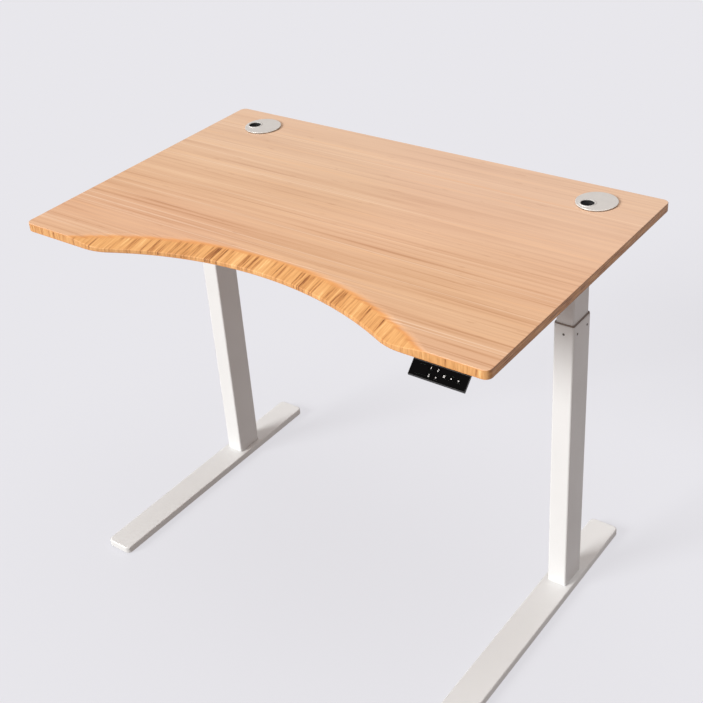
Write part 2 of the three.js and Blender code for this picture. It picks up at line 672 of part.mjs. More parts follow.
addPiece(carriage, 'desktop', desktopGeometry(), finish.bamboo);
for (const [hand, side] of [['left', -1], ['right', 1]]) {
  const grommetPlace = [side * (top.width / 2 - grommet.sideInset), top.depth / 2 - grommet.backInset, 0];
  addPiece(surface, `grommet_sleeve_${hand}`, grommetSleeveGeometry(), finish.blackPlastic, grommetPlace);
  const capShape = grommetCapGeometry(cableHoleTurn[hand]);
  addPiece(surface, `grommet_cap_${hand}`, capShape, finish.silver, grommetPlace);

  const lowerColumn = new THREE.Group();
  lowerColumn.position.set(side * columnX, columnY, 0);
  desk.add(lowerColumn);
  addFoot(lowerColumn, hand);
  addLowerColumn(lowerColumn, hand);

  const columnHead = new THREE.Group();
  columnHead.position.set(side * columnX, columnY, 0);
  carriage.add(columnHead);
  addColumnHead(columnHead, hand, -side);
}
addCrossbar(carriage, 'front', columnY - rail.offset);
addCrossbar(carriage, 'rear', columnY + rail.offset);
addControlBox(carriage);
addHandset(carriage);
addLeads(carriage);

export default desk;
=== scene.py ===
"""Height adjustable standing desk: a scooped bamboo top on two white steel lifting columns."""

import json
import math

import bmesh
import bpy
import numpy as np
from mathutils import Matrix, Vector
from mathutils.geometry import tessellate_polygon

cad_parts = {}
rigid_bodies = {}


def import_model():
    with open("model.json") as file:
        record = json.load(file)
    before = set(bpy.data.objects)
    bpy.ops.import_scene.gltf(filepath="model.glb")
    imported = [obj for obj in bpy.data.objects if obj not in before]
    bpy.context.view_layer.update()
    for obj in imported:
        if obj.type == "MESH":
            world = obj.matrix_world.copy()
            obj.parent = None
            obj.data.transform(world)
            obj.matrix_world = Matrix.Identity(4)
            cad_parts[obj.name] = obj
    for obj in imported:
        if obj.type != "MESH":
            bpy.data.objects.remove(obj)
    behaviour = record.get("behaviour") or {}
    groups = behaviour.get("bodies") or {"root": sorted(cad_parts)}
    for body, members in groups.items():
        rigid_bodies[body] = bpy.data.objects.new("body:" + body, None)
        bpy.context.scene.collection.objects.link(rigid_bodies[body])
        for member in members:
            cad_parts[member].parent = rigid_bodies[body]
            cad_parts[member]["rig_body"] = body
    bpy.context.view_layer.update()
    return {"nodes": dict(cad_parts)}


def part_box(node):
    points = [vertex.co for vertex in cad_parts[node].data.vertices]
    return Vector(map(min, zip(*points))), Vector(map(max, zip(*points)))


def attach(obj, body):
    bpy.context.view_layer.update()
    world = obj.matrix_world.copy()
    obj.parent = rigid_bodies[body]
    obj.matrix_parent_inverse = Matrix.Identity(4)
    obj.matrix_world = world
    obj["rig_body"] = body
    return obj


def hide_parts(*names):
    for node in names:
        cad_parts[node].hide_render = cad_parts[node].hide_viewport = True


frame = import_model()


# ---------------------------------------------------------------------------------------------------
# Studio. A pale floor that runs out past the view and glows a little, so that shadows on it stay light,
# a low soft key from the user's left, a weaker overhead light, and a dim surround that leaves sides dark.

def linear(red, green, blue):
    """A display colour, 0 to 255 a channel, as the linear colour that shaders take, opaque."""
    def channel(value):
        share = value / 255
        return share / 12.92 if share <= 0.04045 else ((share + 0.055) / 1.055) ** 2.4
    return channel(red), channel(green), channel(blue), 1.0


def new_material(name, colour, roughness, metallic=0.0):
    """A material with one Principled shader, and returns it with its node tree and that shader."""
    material = bpy.data.materials.new(name)
    material.use_nodes = True
    tree = material.node_tree
    shader = tree.nodes["Principled BSDF"]
    shader.inputs["Base Color"].default_value = colour
    shader.inputs["Roughness"].default_value = roughness
    shader.inputs["Metallic"].default_value = metallic
    material.diffuse_color = colour
    return material, tree, shader


def add_node(tree, kind, **values):
    """One shader node. Keywords name its properties, or its inputs where it has no such property."""
    node = tree.nodes.new("ShaderNode" + kind)
    for key, value in values.items():
        if hasattr(node, key):
            setattr(node, key, value)
        else:
            node.inputs[key.replace("_", " ")].default_value = value
    return node


def build_studio():
    """The floor is one square, lit and faintly glowing. Each light is a sun that stands in a direction."""
    pale = linear(232, 231, 236)
    floor_half, glow = 30.0, 0.77
    corners = [(-floor_half, -floor_half, 0), (floor_half, -floor_half, 0),
               (floor_half, floor_half, 0), (-floor_half, floor_half, 0)]
    mesh = bpy.data.meshes.new("studio_floor")
    mesh.from_pydata(corners, [], [(0, 1, 2, 3)])
    floor = bpy.data.objects.new("studio_floor", mesh)
    bpy.context.scene.collection.objects.link(floor)
    paper, tree, shader = new_material("studio_paper", linear(116, 118, 122), 0.9)
    shader.inputs["Specular IOR Level"].default_value = 0.1
    shader.inputs["Emission Color"].default_value = pale
    shader.inputs["Emission Strength"].default_value = glow
    mesh.materials.append(paper)
    floor.visible_diffuse = False

    surround_tint, surround_strength = (1.0, 0.86, 0.795, 1.0), 0.29
    world = bpy.data.worlds.new("surround")
    world.use_nodes = True
    tree = world.node_tree
    dim = tree.nodes["Background"]
    dim.inputs["Color"].default_value = surround_tint
    dim.inputs["Strength"].default_value = surround_strength
    backdrop = add_node(tree, "Background", Color=pale)
    seen = add_node(tree, "LightPath")
    either = add_node(tree, "MixShader")
    tree.links.new(seen.outputs["Is Camera Ray"], either.inputs[0])
    tree.links.new(dim.outputs[0], either.inputs[1])
    tree.links.new(backdrop.outputs[0], either.inputs[2])
    tree.links.new(either.outputs[0], tree.nodes["World Output"].inputs["Surface"])
    bpy.context.scene.world = world

    suns = [
        {"name": "key", "towards": (-0.42, -0.80, 0.44), "strength": 3.1, "softness": 24,
         "colour": (1.0, 0.985, 0.96)},
        {"name": "overhead", "towards": (0.05, 0.15, 1.0), "strength": 1.0, "softness": 60,
         "colour": (1.0, 0.99, 0.985)},
    ]
    for sun in suns:
        data = bpy.data.lights.new(sun["name"], "SUN")
        data.energy = sun["strength"]
        data.angle = math.radians(sun["softness"])
        data.color = sun["colour"]
        light = bpy.data.objects.new(sun["name"], data)
        light.rotation_euler = Vector(sun["towards"]).to_track_quat("Z", "Y").to_euler()
        bpy.context.scene.collection.objects.link(light)


def build_camera():
    """A 63 mm lens above the user's right shoulder, turned, tipped down and leaning a little."""
    turn, tip, lean = math.radians(38.89), math.radians(31.24), math.radians(-4.744)
    back = Vector((math.sin(turn) * math.cos(tip), -math.cos(turn) * math.cos(tip), math.sin(tip)))
    data = bpy.data.cameras.new("camera")
    data.sensor_width = 36
    data.lens = 62.84
    data.shift_x, data.shift_y = 0.0199, -0.0398
    camera = bpy.data.objects.new("camera", data)
    camera.location = (1.3803, -1.7393, 1.9397)
    camera.rotation_mode = "QUATERNION"
    upright = (-back).to_track_quat("-Z", "Y")
    camera.rotation_quaternion = upright @ Matrix.Rotation(lean, 3, "Z").to_quaternion()
    bpy.context.scene.collection.objects.link(camera)
    bpy.context.scene.camera = camera


build_studio()
build_camera()
bpy.context.scene.view_settings.view_transform = "Standard"


# ---------------------------------------------------------------------------------------------------
# Feet. Pressed steel channels, open underneath, with round ends and a soft top edge, finished in
# fine-textured white powder coat. Each is screwed up into its column from below.

def noise(tree, scale, detail=2.0, roughness=0.5, offset=(0, 0, 0)):
    """Noise in the object's own coordinates: scale is in cells per metre, one number or one for each axis."""
    coords = add_node(tree, "TexCoord")
    stretch = add_node(tree, "Mapping", Scale=np.broadcast_to(scale, 3).tolist(), Location=offset)
    texture = add_node(tree, "TexNoise", Scale=1.0, Detail=detail, Roughness=roughness)
    tree.links.new(coords.outputs["Object"], stretch.inputs["Vector"])
    tree.links.new(stretch.outputs["Vector"], texture.inputs["Vector"])
    return texture.outputs["Fac"]


def vary_gloss(tree, shader, value, low, high, start=0.3, end=0.7):
    """Roughness goes from low to high as value goes from start to end."""
    gloss = add_node(tree, "MapRange", From_Min=start, From_Max=end, To_Min=low, To_Max=high)
    tree.links.new(value, gloss.inputs["Value"])
    tree.links.new(gloss.outputs["Result"], shader.inputs["Roughness"])


def vary_colour(tree, shader, value, first, second):
    """The colour goes from first to second as value goes from 0 to 1."""
    tint = add_node(tree, "MixRGB", Color1=first, Color2=second)
    tree.links.new(value, tint.inputs["Fac"])
    tree.links.new(tint.outputs["Color"], shader.inputs["Base Color"])


def emboss(tree, shader, height, strength, distance):
    """A bump: height times distance, in metres, at this strength."""
    bump = add_node(tree, "Bump", Strength=strength, Distance=distance)
    tree.links.new(height, bump.inputs["Height"])
    tree.links.new(bump.outputs["Normal"], shader.inputs["Normal"])


def powder_coat():
    """White powder coat: a fine orange-peel bump over slow changes of gloss and shade."""
    material, tree, shader = new_material("white_powder_coat", linear(236, 238, 239), 0.5)
    slow = noise(tree, 9.0, detail=3.0)
    vary_gloss(tree, shader, slow, 0.40, 0.54)
    vary_colour(tree, shader, slow, linear(240, 242, 243), linear(232, 234, 235))
    emboss(tree, shader, noise(tree, 1500.0), strength=0.16, distance=0.0004)
    return material


def round_rectangle(across, deep, corner, per_corner):
    """A rectangle with round corners as (n, 2) points, anticlockwise: four quarter circles in turn."""
    sweep = np.linspace(0, np.pi / 2, per_corner)
    quarter = corner * np.stack([np.cos(sweep), np.sin(sweep)], -1)
    middle = np.array([across / 2 - corner, deep / 2 - corner])
    first = quarter + middle
    second = quarter[:, ::-1] * (-1, 1) + middle * (-1, 1)
    points = [first, second, -first, -second]
    return np.concatenate(points)


def skin(rings, joined=False):
    """Points and quads over rings, an array (rings, points, 3): each quad joins a point and the next one to
    the two above them. The ends close flat, or join each other."""
    rings = np.asarray(rings, float)
    count, around = rings.shape[:2]
    ring = np.arange(count if joined else count - 1)[:, None]
    here = np.arange(around)[None, :]
    after = (here + 1) % around
    up = (ring + 1) % count
    corners = [ring * around + here, ring * around + after, up * around + after, up * around + here]
    quads = np.stack(corners, -1)
    faces = [tuple(quad) for quad in quads.reshape(-1, 4).tolist()]
    if not joined:
        faces.append(tuple(range(around - 1, -1, -1)))
        faces.append(tuple(range((count - 1) * around, count * around)))
    return rings.reshape(-1, 3), faces


def gather(parts):
    """Several (points, faces) shapes as one."""
    points, faces, start = [], [], 0
    for part_points, part_faces in parts:
        points.append(part_points)
        faces += [tuple(start + i for i in face) for face in part_faces]
        start += len(part_points)
    return np.concatenate(points), faces


def add_piece(name, shape, material, body, stands_for=(), crease=35):
    """A new object from (points, faces), smooth but for edges sharper than crease degrees. It rides a body,
    and takes the place of the CAD nodes that it stands for."""
    points, faces = shape
    mesh = bpy.data.meshes.new(name)
    mesh.from_pydata(np.asarray(points).tolist(), [], faces)
    mesh.materials.append(material)
    mesh.polygons.foreach_set("use_smooth", np.ones(len(mesh.polygons), bool))
    mesh.set_sharp_from_angle(angle=math.radians(crease))
    piece = bpy.data.objects.new(name, mesh)
    bpy.context.scene.collection.objects.link(piece)
    weighted = piece.modifiers.new("weighted_normals", "WEIGHTED_NORMAL")
    weighted.keep_sharp = True
    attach(piece, body)
    if stands_for:
        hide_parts(*stands_for)
    return piece


def moulded_rings(centre, outline, steps):
    """Rings of one outline: each step is (inset, z), and outline(inset) gives the (n, 2) points."""
    rings = []
    for inset, z in steps:
        flat = outline(inset) + centre
        rings.append(np.column_stack([flat, np.full(len(flat), z)]))
    return rings


def corner_steps(radius, edge_z, segments):
    """(inset, z) steps round a top edge: a quarter circle from the wall up onto the flat at edge_z."""
    sweep = np.linspace(0, np.pi / 2, segments + 1)
    return [(radius * (1 - math.cos(angle)), edge_z - radius * (1 - math.sin(angle))) for angle in sweep]


def shrinking_outline(across, deep, corner, least_corner, per_corner):
    """An outline for moulded_rings: a round-cornered rectangle, whose corners tighten as the inset grows."""
    def outline(inset):
        tightened = max(corner - inset, least_corner)
        return round_rectangle(across - 2 * inset, deep - 2 * inset, tightened, per_corner)
    return outline


def middle_of(node):
    """The middle of a CAD node's box."""
    low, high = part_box(node)
    return np.array((low + high) / 2)


white_coat = powder_coat()
HANDS = ("left", "right")


def build_feet():
    """Rings of one outline: down the wall's inside, round the rim, up the outside and over the top edge."""
    wall, rim, top_edge, end_corner, least_corner = 0.0025, 0.0006, 0.0034, 0.012, 0.004
    for hand in HANDS:
        low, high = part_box(f"foot_{hand}")
        size = high - low
        outline = shrinking_outline(size.x, size.y, end_corner, least_corner, 12)
        steps = [
            (wall, high.z - wall), (wall, low.z + rim), (wall - rim, low.z), (rim, low.z), (0, low.z + rim),
        ]
        steps += corner_steps(top_edge, high.z, segments=7)
        rings = moulded_rings(middle_of(f"foot_{hand}")[:2], outline, steps)
        add_piece(f"foot_skin_{hand}", skin(rings), white_coat, "base", [f"foot_{hand}"])


build_feet()


# ---------------------------------------------------------------------------------------------------
# Outer column tubes. Welded rectangular steel tube, white powder coat, with a soft cut edge at the top.
# Small dark set screws near it hold the glide inside, two in each broad side and one in each narrow one.

def tube_rings(node, wall, corner):
    """A hollow tube: up the outside, over a rounded lip, down the inside and under to close."""
    lip, least_corner = 0.0005, 0.0006
    low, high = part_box(node)
    size = high - low
    outline = shrinking_outline(size.x, size.y, corner, least_corner, 8)
    steps = [(lip, low.z), (0, low.z + lip)]
    steps += corner_steps(lip, high.z, segments=3)
    steps += [(wall - lip, high.z), (wall, high.z - lip), (wall, low.z + lip), (wall - lip, low.z)]
    return moulded_rings(middle_of(node)[:2], outline, steps)


def socket_screw(centre, out, radius, rise):
    """A button head with a hexagon socket: circles round the direction out, then a six-sided well. The head's
    profile is in shares of its radius and its rise."""
    out = Vector(out).normalized()
    side = out.orthogonal().normalized()
    across = out.cross(side)
    sides = 24
    turn = np.linspace(0, 2 * np.pi, sides, endpoint=False)
    round_head = np.ones(sides)
    hexagon = np.cos(np.pi / 6) / np.cos((turn % (np.pi / 3)) - np.pi / 6)
    head = [(1.0, -0.3), (1.0, 0.35), (0.93, 0.65), (0.75, 0.9), (0.5, 1.0)]
    well = [(0.48, 0.97), (0.46, 0.25)]
    rings = [(radius * share * round_head, rise * high) for share, high in head]
    rings += [(radius * share * hexagon, rise * high) for share, high in well]
    circle = np.cos(turn)[:, None] * np.array(side) + np.sin(turn)[:, None] * np.array(across)
    placed = [np.array(centre) + reach[:, None] * circle + high * np.array(out) for reach, high in rings]
    return skin(placed)


def brushed_steel():
    """Plain steel from the machine: fine scratches along Z and a patchy sheen."""
    material, tree, shader = new_material("bare_steel", linear(150, 151, 154), 0.38, metallic=1.0)
    scratches = noise(tree, (900.0, 900.0, 40.0), detail=4.0)
    vary_gloss(tree, shader, scratches, 0.28, 0.50)
    emboss(tree, shader, scratches, strength=0.08, distance=0.0003)
    return material


def blackened_steel():
    """Blackened screw steel, with a fine grain in its gloss."""
    material, tree, shader = new_material("blackened_steel", linear(104, 97, 94), 0.45, metallic=0.7)
    vary_gloss(tree, shader, noise(tree, 2200.0), 0.35, 0.55)
    return material


bare_steel = brushed_steel()
screw_steel = blackened_steel()


def build_outer_tubes():
    """A hollow skin for each tube, and six set screws that stand out square to its sides."""
    wall, corner = 0.0015, 0.0045
    screw_radius, screw_rise, below_top, from_edge = 0.0026, 0.0007, 0.020, 0.0145
    for hand in HANDS:
        node = f"outer_tube_{hand}"
        add_piece(f"outer_tube_skin_{hand}", skin(tube_rings(node, wall, corner), joined=True),
                  white_coat, "base", [node])
        low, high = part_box(node)
        x, z = (low.x + high.x) / 2, high.z - below_top
        front_y, rear_y = low.y + from_edge, high.y - from_edge
        heads = [((x, low.y, z), (0, -1, 0)), ((x, high.y, z), (0, 1, 0))]
        for face_x, out in ((low.x, -1), (high.x, 1)):
            heads += [((face_x, front_y, z), (out, 0, 0)), ((face_x, rear_y, z), (out, 0, 0))]
        shapes = [socket_screw(centre, out, screw_radius, screw_rise) for centre, out in heads]
        add_piece(f"glide_screws_{hand}", gather(shapes), screw_steel, "base")


build_outer_tubes()


# ---------------------------------------------------------------------------------------------------
# Glide collars. Grey moulded plastic liners pressed into the top of the outer tubes. Only the thin brim
# shows, as the dark line where the two tubes meet.

def moulded_plastic(name, colour, grain=700.0, roughness=0.55):
    """Moulded plastic with a spark-eroded grain in its bump and gloss, and a slow change of shade."""
    darkest, gloss_spread = 0.82, 0.07
    material, tree, shader = new_material(name, colour, roughness)
    spark = noise(tree, grain, detail=3.0)
    darker = tuple(darkest * channel for channel in colour[:3]) + (1.0,)
    vary_gloss(tree, shader, spark, roughness - gloss_spread, roughness + gloss_spread)
    vary_colour(tree, shader, noise(tree, 14.0), colour, darker)
    emboss(tree, shader, spark, strength=0.2, distance=0.0003)
    return material


collar_plastic = moulded_plastic("collar_plastic", linear(150, 138, 131))


def build_glide_collars():
    """Rings of the tube's outline: up the sleeve, out under the brim, over its edge and down the liner."""
    brim_height, brim_edge, brim_corner, mouth_corner = 0.0026, 0.0007, 0.0045, 0.0018
    sleeve_inset, liner, rim, mouth_in, mouth_down = 0.0013, 0.0009, 0.0002, 0.0003, 0.0004
    for hand in HANDS:
        node = f"glide_collar_{hand}"
        low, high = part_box(node)
        size = high - low
        outline = shrinking_outline(size.x, size.y, brim_corner, mouth_corner, 8)
        under = high.z - brim_height
        steps = [(sleeve_inset, low.z), (sleeve_inset, under), (rim, under), (0, under + rim)]
        steps += corner_steps(brim_edge, high.z, segments=3)
        steps += [(sleeve_inset + liner - mouth_in, high.z), (sleeve_inset + liner, high.z - mouth_down),
                  (sleeve_inset + liner, low.z)]
        rings = moulded_rings(middle_of(node)[:2], outline, steps)
        add_piece(f"glide_collar_skin_{hand}", skin(rings, joined=True), collar_plastic, "base",
                  [node])


build_glide_collars()


# ---------------------------------------------------------------------------------------------------
# Drive inside the columns: base plate, nut tube, nut and spindle. Machined steel and an ivory acetal
# nut, hidden by the tubes. The spindle's trapezoidal thread shows as an 8 mm pitch in its surface.

def threaded_steel():
    """Rolled thread on bright steel: a band bump that repeats every pitch along Z. The band texture is a
    sine that turns through 20 radians a metre at a scale of 1."""
    pitch, turns_through = 0.008, 20
    material, tree, shader = new_material("rolled_thread", linear(168, 168, 170), 0.3, metallic=1.0)
    coords = add_node(tree, "TexCoord")
    bands = add_node(tree, "TexWave", wave_type="BANDS", bands_direction="Z")
    bands.inputs["Scale"].default_value = 2 * math.pi / (turns_through * pitch)
    tree.links.new(coords.outputs["Object"], bands.inputs["Vector"])
    vary_gloss(tree, shader, bands.outputs["Fac"], 0.24, 0.42, start=0.0, end=1.0)
    emboss(tree, shader, bands.outputs["Fac"], strength=0.9, distance=0.0015)
    return material


def repaint(node, material):
    """Gives a CAD node its finish, and leaves its shape alone."""
    slots = frame["nodes"][node].material_slots
    if not slots:
        frame["nodes"][node].data.materials.append(material)
    for slot in slots:
        slot.material = material


rolled_thread = threaded_steel()
acetal = moulded_plastic("acetal", linear(228, 222, 204), grain=500.0, roughness=0.4)
for hand in HANDS:
    repaint(f"base_plate_{hand}", bare_steel)
    repaint(f"nut_tube_{hand}", bare_steel)
    repaint(f"spindle_nut_{hand}", acetal)
    repaint(f"spindle_{hand}", rolled_thread)


# ---------------------------------------------------------------------------------------------------
# Inner column tubes. The same welded steel tube one size down, in the same white coat. Each slides in
# its glide and carries its top plate.

for hand in HANDS:
    rings = tube_rings(f"inner_tube_{hand}", wall=0.0015, corner=0.004)
    add_piece(f"inner_tube_skin_{hand}", skin(rings, joined=True), white_coat, "carriage",
              [f"inner_tube_{hand}"])


# ---------------------------------------------------------------------------------------------------
# Column heads: top plates, gearboxes, motors and their covers. Steel plate, cast aluminium and black
# mouldings bolted together under the desktop. Their cut edges are softened a little, as real ones are.

def softened(node, radius, material):
    """A copy of a CAD node with its triangles merged into whole faces and its edges rounded to radius."""
    crease, flat_enough, same_point = math.radians(40), math.radians(0.5), 2e-6
    source = frame["nodes"][node]
    mesh = source.data.copy()
    mesh.name = f"{node}_skin"
    work = bmesh.new()
    work.from_mesh(mesh)
    bmesh.ops.remove_doubles(work, verts=work.verts, dist=same_point)
    bmesh.ops.dissolve_limit(work, angle_limit=flat_enough, verts=work.verts, edges=work.edges,
                             use_dissolve_boundaries=False)
    for face in work.faces:
        face.smooth = True
    work.to_mesh(mesh)
    work.free()
    mesh.materials.clear()
    mesh.materials.append(material)
    mesh.set_sharp_from_angle(angle=crease)
    piece = bpy.data.objects.new(f"{node}_skin", mesh)
    bpy.context.scene.collection.objects.link(piece)
    bevel = piece.modifiers.new("soft_edges", "BEVEL")
    bevel.width = radius
    bevel.segments = 2
    bevel.limit_method = "ANGLE"
    bevel.angle_limit = crease
    bevel.harden_normals = False
    weighted = piece.modifiers.new("weighted_normals", "WEIGHTED_NORMAL")
    weighted.keep_sharp = False
    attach(piece, source["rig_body"])
    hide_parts(node)
    return piece


def cast_aluminium():
    """Sand-textured casting: a pebbly bump and dull, uneven gloss."""
    material, tree, shader = new_material("cast_aluminium", linear(172, 173, 175), 0.55, metallic=0.9)
    pebble = noise(tree, 420.0, detail=5.0)
    vary_gloss(tree, shader, pebble, 0.45, 0.68)
    emboss(tree, shader, pebble, strength=0.45, distance=0.0005)
    return material


casting = cast_aluminium()
black_moulding = moulded_plastic("black_moulding", linear(34, 34, 36))
for hand in HANDS:
    softened(f"top_plate_{hand}", 0.0006, bare_steel)
    softened(f"gearbox_{hand}", 0.0016, casting)
    softened(f"motor_{hand}", 0.0008, bare_steel)
    softened(f"motor_cover_{hand}", 0.0008, black_moulding)


# ---------------------------------------------------------------------------------------------------
# Side brackets and crossbars. Folded channel and rectangular tube in the white coat. The bracket screws
# hold the frame up to the desktop, and the crossbar screws lock the telescoping ends.

for hand in HANDS:
    softened(f"side_bracket_{hand}", 0.0006, white_coat)
    for place in ("front", "rear"):
        softened(f"crossbar_{place}_end_{hand}", 0.0004, white_coat)
for place in ("front", "rear"):
    softened(f"crossbar_{place}", 0.0004, white_coat)


def build_frame_screws():
    """Button heads under each bracket's web, and two under each crossbar near its ends."""
    down = (0, 0, -1)
    bracket_head, bracket_rise, web_thickness = 0.0055, 0.0026, 0.0025
    front_in, middle_in, rear_in = 0.025, 0.13, 0.02
    crossbar_head, crossbar_rise, first_in, second_in = 0.0045, 0.0022, 0.02, 0.05
    for hand in HANDS:
        low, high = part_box(f"side_bracket_{hand}")
        x, web = (low.x + high.x) / 2, high.z - web_thickness
        places = (low.y + front_in, low.y + middle_in, high.y - rear_in)
        shapes = [socket_screw((x, y, web), down, bracket_head, bracket_rise) for y in places]
        add_piece(f"bracket_screws_{hand}", gather(shapes), screw_steel, "carriage")
    shapes = []
    for place in ("front", "rear"):
        low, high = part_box(f"crossbar_{place}")
        y = (low.y + high.y) / 2
        for x in (low.x + first_in, low.x + second_in, high.x - second_in, high.x - first_in):
            shapes.append(socket_screw((x, y, low.z), down, crossbar_head, crossbar_rise))
    add_piece("crossbar_screws", gather(shapes), screw_steel, "carriage")


build_frame_screws()


def build_column_screws():
    """Four heads under each top plate's corners, and four inside each foot that hold the column on it."""
    down, foot_wall = (0, 0, -1), 0.0025
    plate_head, plate_rise, plate_across, plate_along = 0.0042, 0.0024, 0.017, 0.044
    foot_head, foot_rise, foot_across, foot_along = 0.0055, 0.0028, 0.012, 0.024
    for hand in HANDS:
        plate_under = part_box(f"top_plate_{hand}")[0].z
        foot_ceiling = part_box(f"foot_{hand}")[1].z - foot_wall
        column = middle_of(f"outer_tube_{hand}")
        plate = middle_of(f"top_plate_{hand}")
        upper, lower = [], []
        for side in (-1, 1):
            for end in (-1, 1):
                under_plate = (plate[0] + side * plate_across, plate[1] + end * plate_along, plate_under)
                upper.append(socket_screw(under_plate, down, plate_head, plate_rise))
                in_foot = (column[0] + side * foot_across, column[1] + end * foot_along, foot_ceiling)
                lower.append(socket_screw(in_foot, down, foot_head, foot_rise))
        add_piece(f"top_plate_screws_{hand}", gather(upper), screw_steel, "carriage")
        add_piece(f"column_screws_{hand}", gather(lower), screw_steel, "base")


build_column_screws()


# ---------------------------------------------------------------------------------------------------
# Levelling pads. Black moulded pads on threaded studs, one near each end of each foot. The studs screw
# into the foot from below.

for hand in HANDS:
    for place in ("front", "rear"):
        softened(f"leveller_{place}_{hand}", 0.0004, black_moulding)


# ---------------------------------------------------------------------------------------------------
# Control box. A black moulded case, screwed up under the desktop through its four corners. The mains
# socket and the left motor's lead are at its left end, and the other two leads at its right end.

softened("control_box_case", 0.0012, black_moulding)
softened("control_box_lid", 0.0006, black_moulding)
softened("mains_inlet", 0.0003, black_moulding)


def build_control_box_details():
    """A screw near each corner of the case's underside, and a row of round-ended ribs along its middle."""
    screw_inset, screw_head, screw_rise = 0.011, 0.0036, 0.0016
    low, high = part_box("control_box_case")
    columns, rows = (low.x + screw_inset, high.x - screw_inset), (low.y + screw_inset, high.y - screw_inset)
    shapes = [socket_screw((x, y, low.z), (0, 0, -1), screw_head, screw_rise) for x in columns for y in rows]
    add_piece("control_box_screws", gather(shapes), screw_steel, "carriage")

    rib_count, rib_pitch, rib_length, rib_width, rib_rise, rib_edge = 11, 0.009, 0.052, 0.0035, 0.0011, 0.0005
    middle = middle_of("control_box_case")
    almost_round = rib_width / 2 - 1e-5
    outline = shrinking_outline(rib_width, rib_length, almost_round, 0, 6)
    steps = [(0, low.z + rib_edge), (0, low.z - rib_rise + rib_edge), (rib_edge, low.z - rib_rise)]
    ribs = []
    for place in np.arange(rib_count) - (rib_count - 1) / 2:
        centre = (middle[0] + place * rib_pitch, middle[1])
        ribs.append(skin(moulded_rings(centre, outline, steps)[::-1]))
    add_piece("control_box_ribs", gather(ribs), black_moulding, "carriage")


build_control_box_details()


# ---------------------------------------------------------------------------------------------------
# Leads under the desktop. Copper cords in black PVC jackets, from each motor cover and from the handset to
# the control box. Small moulded saddles stuck under the desktop hold them up.

def smooth_route(knots):
    """Centripetal Catmull-Rom curve: each span blends its four nearest knots, timed by the root of their
    spacing, so that the curve runs through every knot without a loop or a kink."""
    per_span = 10
    knots = np.asarray(knots, float)
    knots = np.concatenate([[2 * knots[0] - knots[1]], knots, [2 * knots[-1] - knots[-2]]])
    spans = []
    for a, b, c, d in zip(knots, knots[1:], knots[2:], knots[3:]):
        first = 0.0
        second = first + math.sqrt(np.linalg.norm(b - a))
        third = second + math.sqrt(np.linalg.norm(c - b))
        fourth = third + math.sqrt(np.linalg.norm(d - c))
        t = np.linspace(second, third, per_span, endpoint=False)[:, None]
        ab = ((second - t) * a + (t - first) * b) / (second - first)
        bc = ((third - t) * b + (t - second) * c) / (third - second)
        cd = ((fourth - t) * c + (t - third) * d) / (fourth - third)
        abc = ((third - t) * ab + (t - first) * bc) / (third - first)
        bcd = ((fourth - t) * bc + (t - second) * cd) / (fourth - second)
        spans.append(((third - t) * abc + (t - second) * bcd) / (third - second))
    return np.concatenate(spans + [knots[-2][None]])


def tube_along(path, radius, across, sides=14):
    """A circle carried square to a path. The direction across, which the path never takes, keeps it from
    twisting."""
    path = np.asarray(path)
    tangent = np.gradient(path, axis=0)
    tangent /= np.linalg.norm(tangent, axis=1, keepdims=True)
    side = np.cross(tangent, across)
    side /= np.linalg.norm(side, axis=1, keepdims=True)
    up = np.cross(tangent, side)
    turn = np.linspace(0, 2 * np.pi, sides, endpoint=False)
    circle = np.cos(turn)[None, :, None] * side[:, None] + np.sin(turn)[None, :, None] * up[:, None]
    return skin(path[:, None] + radius * circle)


def cable_jacket():
    """Soft PVC jacket: one fine grain gives its low, uneven gloss and its faint bump."""
    material, tree, shader = new_material("cable_jacket", linear(30, 30, 32), 0.5)
    grain = noise(tree, 900.0)
    vary_gloss(tree, shader, grain, 0.42, 0.60)
    emboss(tree, shader, grain, strength=0.1, distance=0.0002)
    return material


jacket = cable_jacket()
LEAD_RADIUS = 0.0026


def saddle(centre, reach, heading):
    """A clip: a square pad under the desktop, turned to the lead's heading, and a U of round section that
    hangs from the pad round the lead. Reach is how far down the U's straight sides go."""
    pad_across, pad_corner, pad_depth, pad_edge = 0.014, 0.003, 0.0016, 0.0004
    strap_radius, half_across, bow, root, pad_gap = 0.0011, 0.0044, 0.0038, -0.0008, 0.0003
    along = np.array([math.cos(heading), math.sin(heading)])
    sideways = np.array([-math.sin(heading), math.cos(heading)])
    turn = np.linspace(0, np.pi, 13)
    across = half_across * np.concatenate([[1], np.cos(turn), [-1]])
    low = np.concatenate([[root], -reach - bow * np.sin(turn), [root]])
    path = np.column_stack([across[:, None] * sideways, low])
    strap = tube_along(path + centre, strap_radius, (*along, 0), sides=8)

    def outline(inset):
        flat = round_rectangle(pad_across - 2 * inset, pad_across - 2 * inset, pad_corner, 5)
        return flat @ np.array([along, sideways])

    top = centre[2]
    steps = [(pad_edge, top - pad_depth), (0, top - pad_depth + pad_edge), (0, top - pad_gap)]
    pad = skin(moulded_rings(np.array(centre[:2]), outline, steps))
    return gather([strap, pad])


